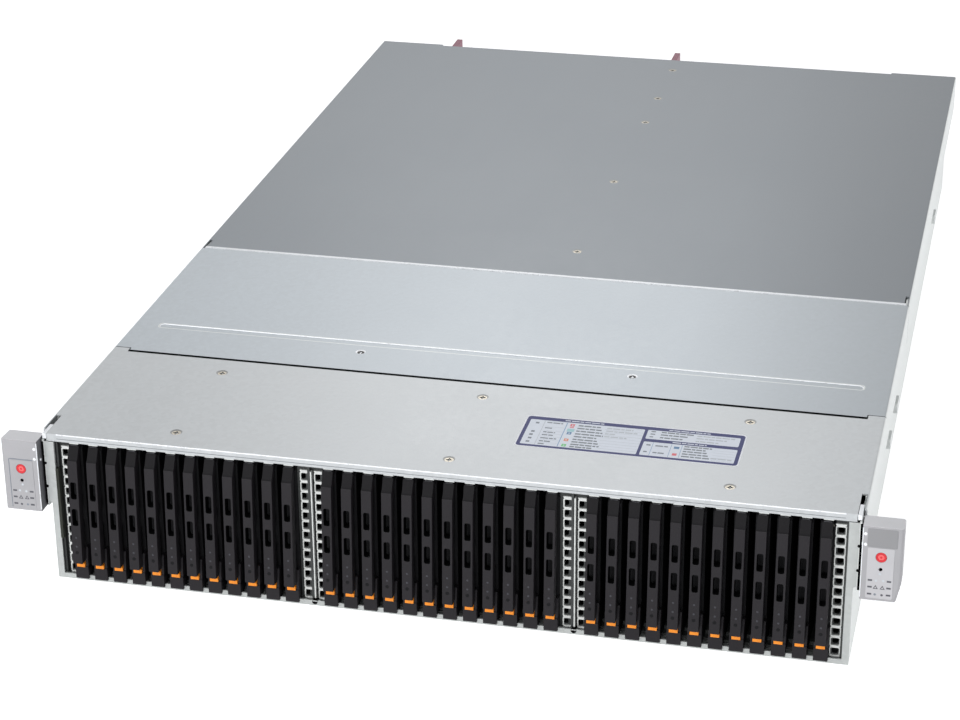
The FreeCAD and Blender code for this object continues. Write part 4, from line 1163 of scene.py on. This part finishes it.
def make_fan(middle):
    """A black disc of painted shade, the hub and seven blades behind the guard."""
    shade_disc = turned("fan_shade_disc", (middle, SUPPLY_BACK - 1.95, FAN_Z), 16.6, 0.1, sides=48)
    hub = turned("fan_hub", (middle, SUPPLY_BACK - 1.6, FAN_Z), 5.4, 0.9, sides=36)
    parts = [dress(shade_disc, PIT_PAINTED_SHADE, 0.03, 1, 60), dress(hub, FAN_BLACK, 0.3, 2)]
    for number in range(7):
        blade = block("fan_blade", (middle + 4.8, SUPPLY_BACK - 1.85, FAN_Z - 2.6),
                      (middle + 15.6, SUPPLY_BACK - 1.5, FAN_Z + 2.6))
        with Shaping(blade) as tool:
            tool.whole().turn(number * 2 * math.pi / 7, (middle, SUPPLY_BACK - 1.7, FAN_Z))
        parts.append(dress(blade, DRIVE_CASE, 0.15, 1, 60))
    return parts


def make_inlet(middle):
    """The mains inlet: a black socket with three pins."""
    socket = block("inlet", (middle - 8.4, SUPPLY_BACK - 14, 9.1),
                   (middle + 8.4, SUPPLY_BACK + 0.3, 33.9))
    with Shaping(socket) as tool:
        tool.faces(facing("y")).inset(1.6).extrude(0, -12, 0)
        tool.edges(along("y", 8), lambda a, b: abs(a.x - middle) < 7.5
                   and abs(b.x - a.x) < 0.1).bevel(2.2, 3)
    parts = [dress(socket, FAN_BLACK, 0.25)]
    for x, z in ((-3.6, 16.5), (3.6, 16.5), (0, 25.5)):
        pin = block("pin", (middle + x - 0.9, SUPPLY_BACK - 12, z - 2.4),
                    (middle + x + 0.9, SUPPLY_BACK - 3.0, z + 2.4))
        parts.append(dress(pin, PORT_METAL, 0.2, 2))
    return parts


def dress_supply(side):
    """The supply's fan guard, mains inlet and lamp."""
    middle = middle_of("psu_" + side)
    parts = [*make_guard(middle), *make_fan(middle), *make_inlet(middle)]
    led = turned("led", (middle + 14.5, SUPPLY_BACK + 0.2, 66.8), 1.1, 0.6, sides=20)
    parts.append(dress(led, LED_GREEN, 0.2, 2))
    finish(join("supply_fittings_" + side, *parts), "psu_" + side, "psu_steel")


upper_grid = make_grid("upper_grid", 76, 28)
lower_grid = make_grid("lower_grid", 84, 22)
for side in ("left", "right"):
    dress_rear(side)
    dress_supply(side)
discard(upper_grid, lower_grid)


# ------------ room, lights, camera

def lay_floor():
    """A white floor that keeps the object's shadow."""
    clear_bench()
    bpy.ops.mesh.primitive_plane_add(size=14, location=(0, 0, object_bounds()[0][2] - 0.2 * MM))
    floor = bpy.context.object
    floor.name = "floor"
    paint = Paint("floor_white")
    matt = paint.node("BsdfDiffuse", {}, {"Color": (0.86, 0.86, 0.86, 1)})
    glow = paint.node("Emission", {}, {"Color": (1, 1, 1, 1), "Strength": 0.62})
    both_ways = paint.node("AddShader", {}, {0: matt, 1: glow})
    mixed = paint.node("MixShader", {}, {0: paint.shown(), 1: matt, 2: both_ways})
    paint.node("OutputMaterial", {}, {"Surface": mixed})
    floor.data.materials.append(paint.material)


def hang_sky():
    """White where it is seen, and a soft cool fill where it lights."""
    sky = Paint("studio", "worlds")
    bpy.context.scene.world = sky.material
    fill = sky.node("Background", {}, {"Color": (0.93, 0.96, 1.0, 1), "Strength": 0.4})
    white = sky.node("Background", {}, {"Color": (1, 1, 1, 1), "Strength": 1.0})
    mixed = sky.node("MixShader", {}, {0: sky.shown(), 1: fill, 2: white})
    sky.node("OutputWorld", {}, {"Surface": mixed})


def lamp(name, place, target, size, power):
    """A soft box aimed at a place."""
    light = bpy.data.lights.new(name, "AREA")
    light.shape = "RECTANGLE"
    light.size, light.size_y = size
    light.energy = power
    holder = bring(name, light)
    holder.location = place
    holder.rotation_euler = (Vector(target) - Vector(place)).to_track_quat("-Z", "Y").to_euler()


def set_camera():
    """The camera, before the front's right and above, rolled a little."""
    camera = bpy.data.cameras.new("view")
    camera.sensor_width = 36
    camera.lens = 95.64
    camera.shift_x = 0.0005
    camera.shift_y = -0.0005
    camera.clip_start = 0.05
    right = Vector((0.97355, 0.22828, -0.00969))
    forward = Vector((-0.21146, 0.88412, -0.41666))
    roll = 0.0010
    right = (right + roll * right.cross(forward).normalized()).normalized()
    up = right.cross(forward).normalized()
    viewer = bring("view", camera)
    viewer.matrix_world = (Matrix.Translation(at(292.22, -1127.40, 684.09))
                           @ Matrix((right, up, -forward)).transposed().to_4x4())
    bpy.context.scene.camera = viewer
    bpy.context.scene.view_settings.view_transform = "Standard"


lay_floor()
hang_sky()
lamp("key", (-1.2, -1.9, 2.0), (0, -0.1, 0), (1.4, 1.4), 20)
lamp("front_fill", (-0.2, -2.4, 0.6), (0, -0.3, 0.05), (1.6, 0.6), 28)
lamp("side_fill", (2.0, 0.45, 0.22), (0.2, 0.1, 0.05), (1.2, 0.3), 13)
lamp("back_top", (-0.33, 1.5, 1.1), (0, -0.2, 0.09), (0.6, 0.35), 2.2)
set_camera()
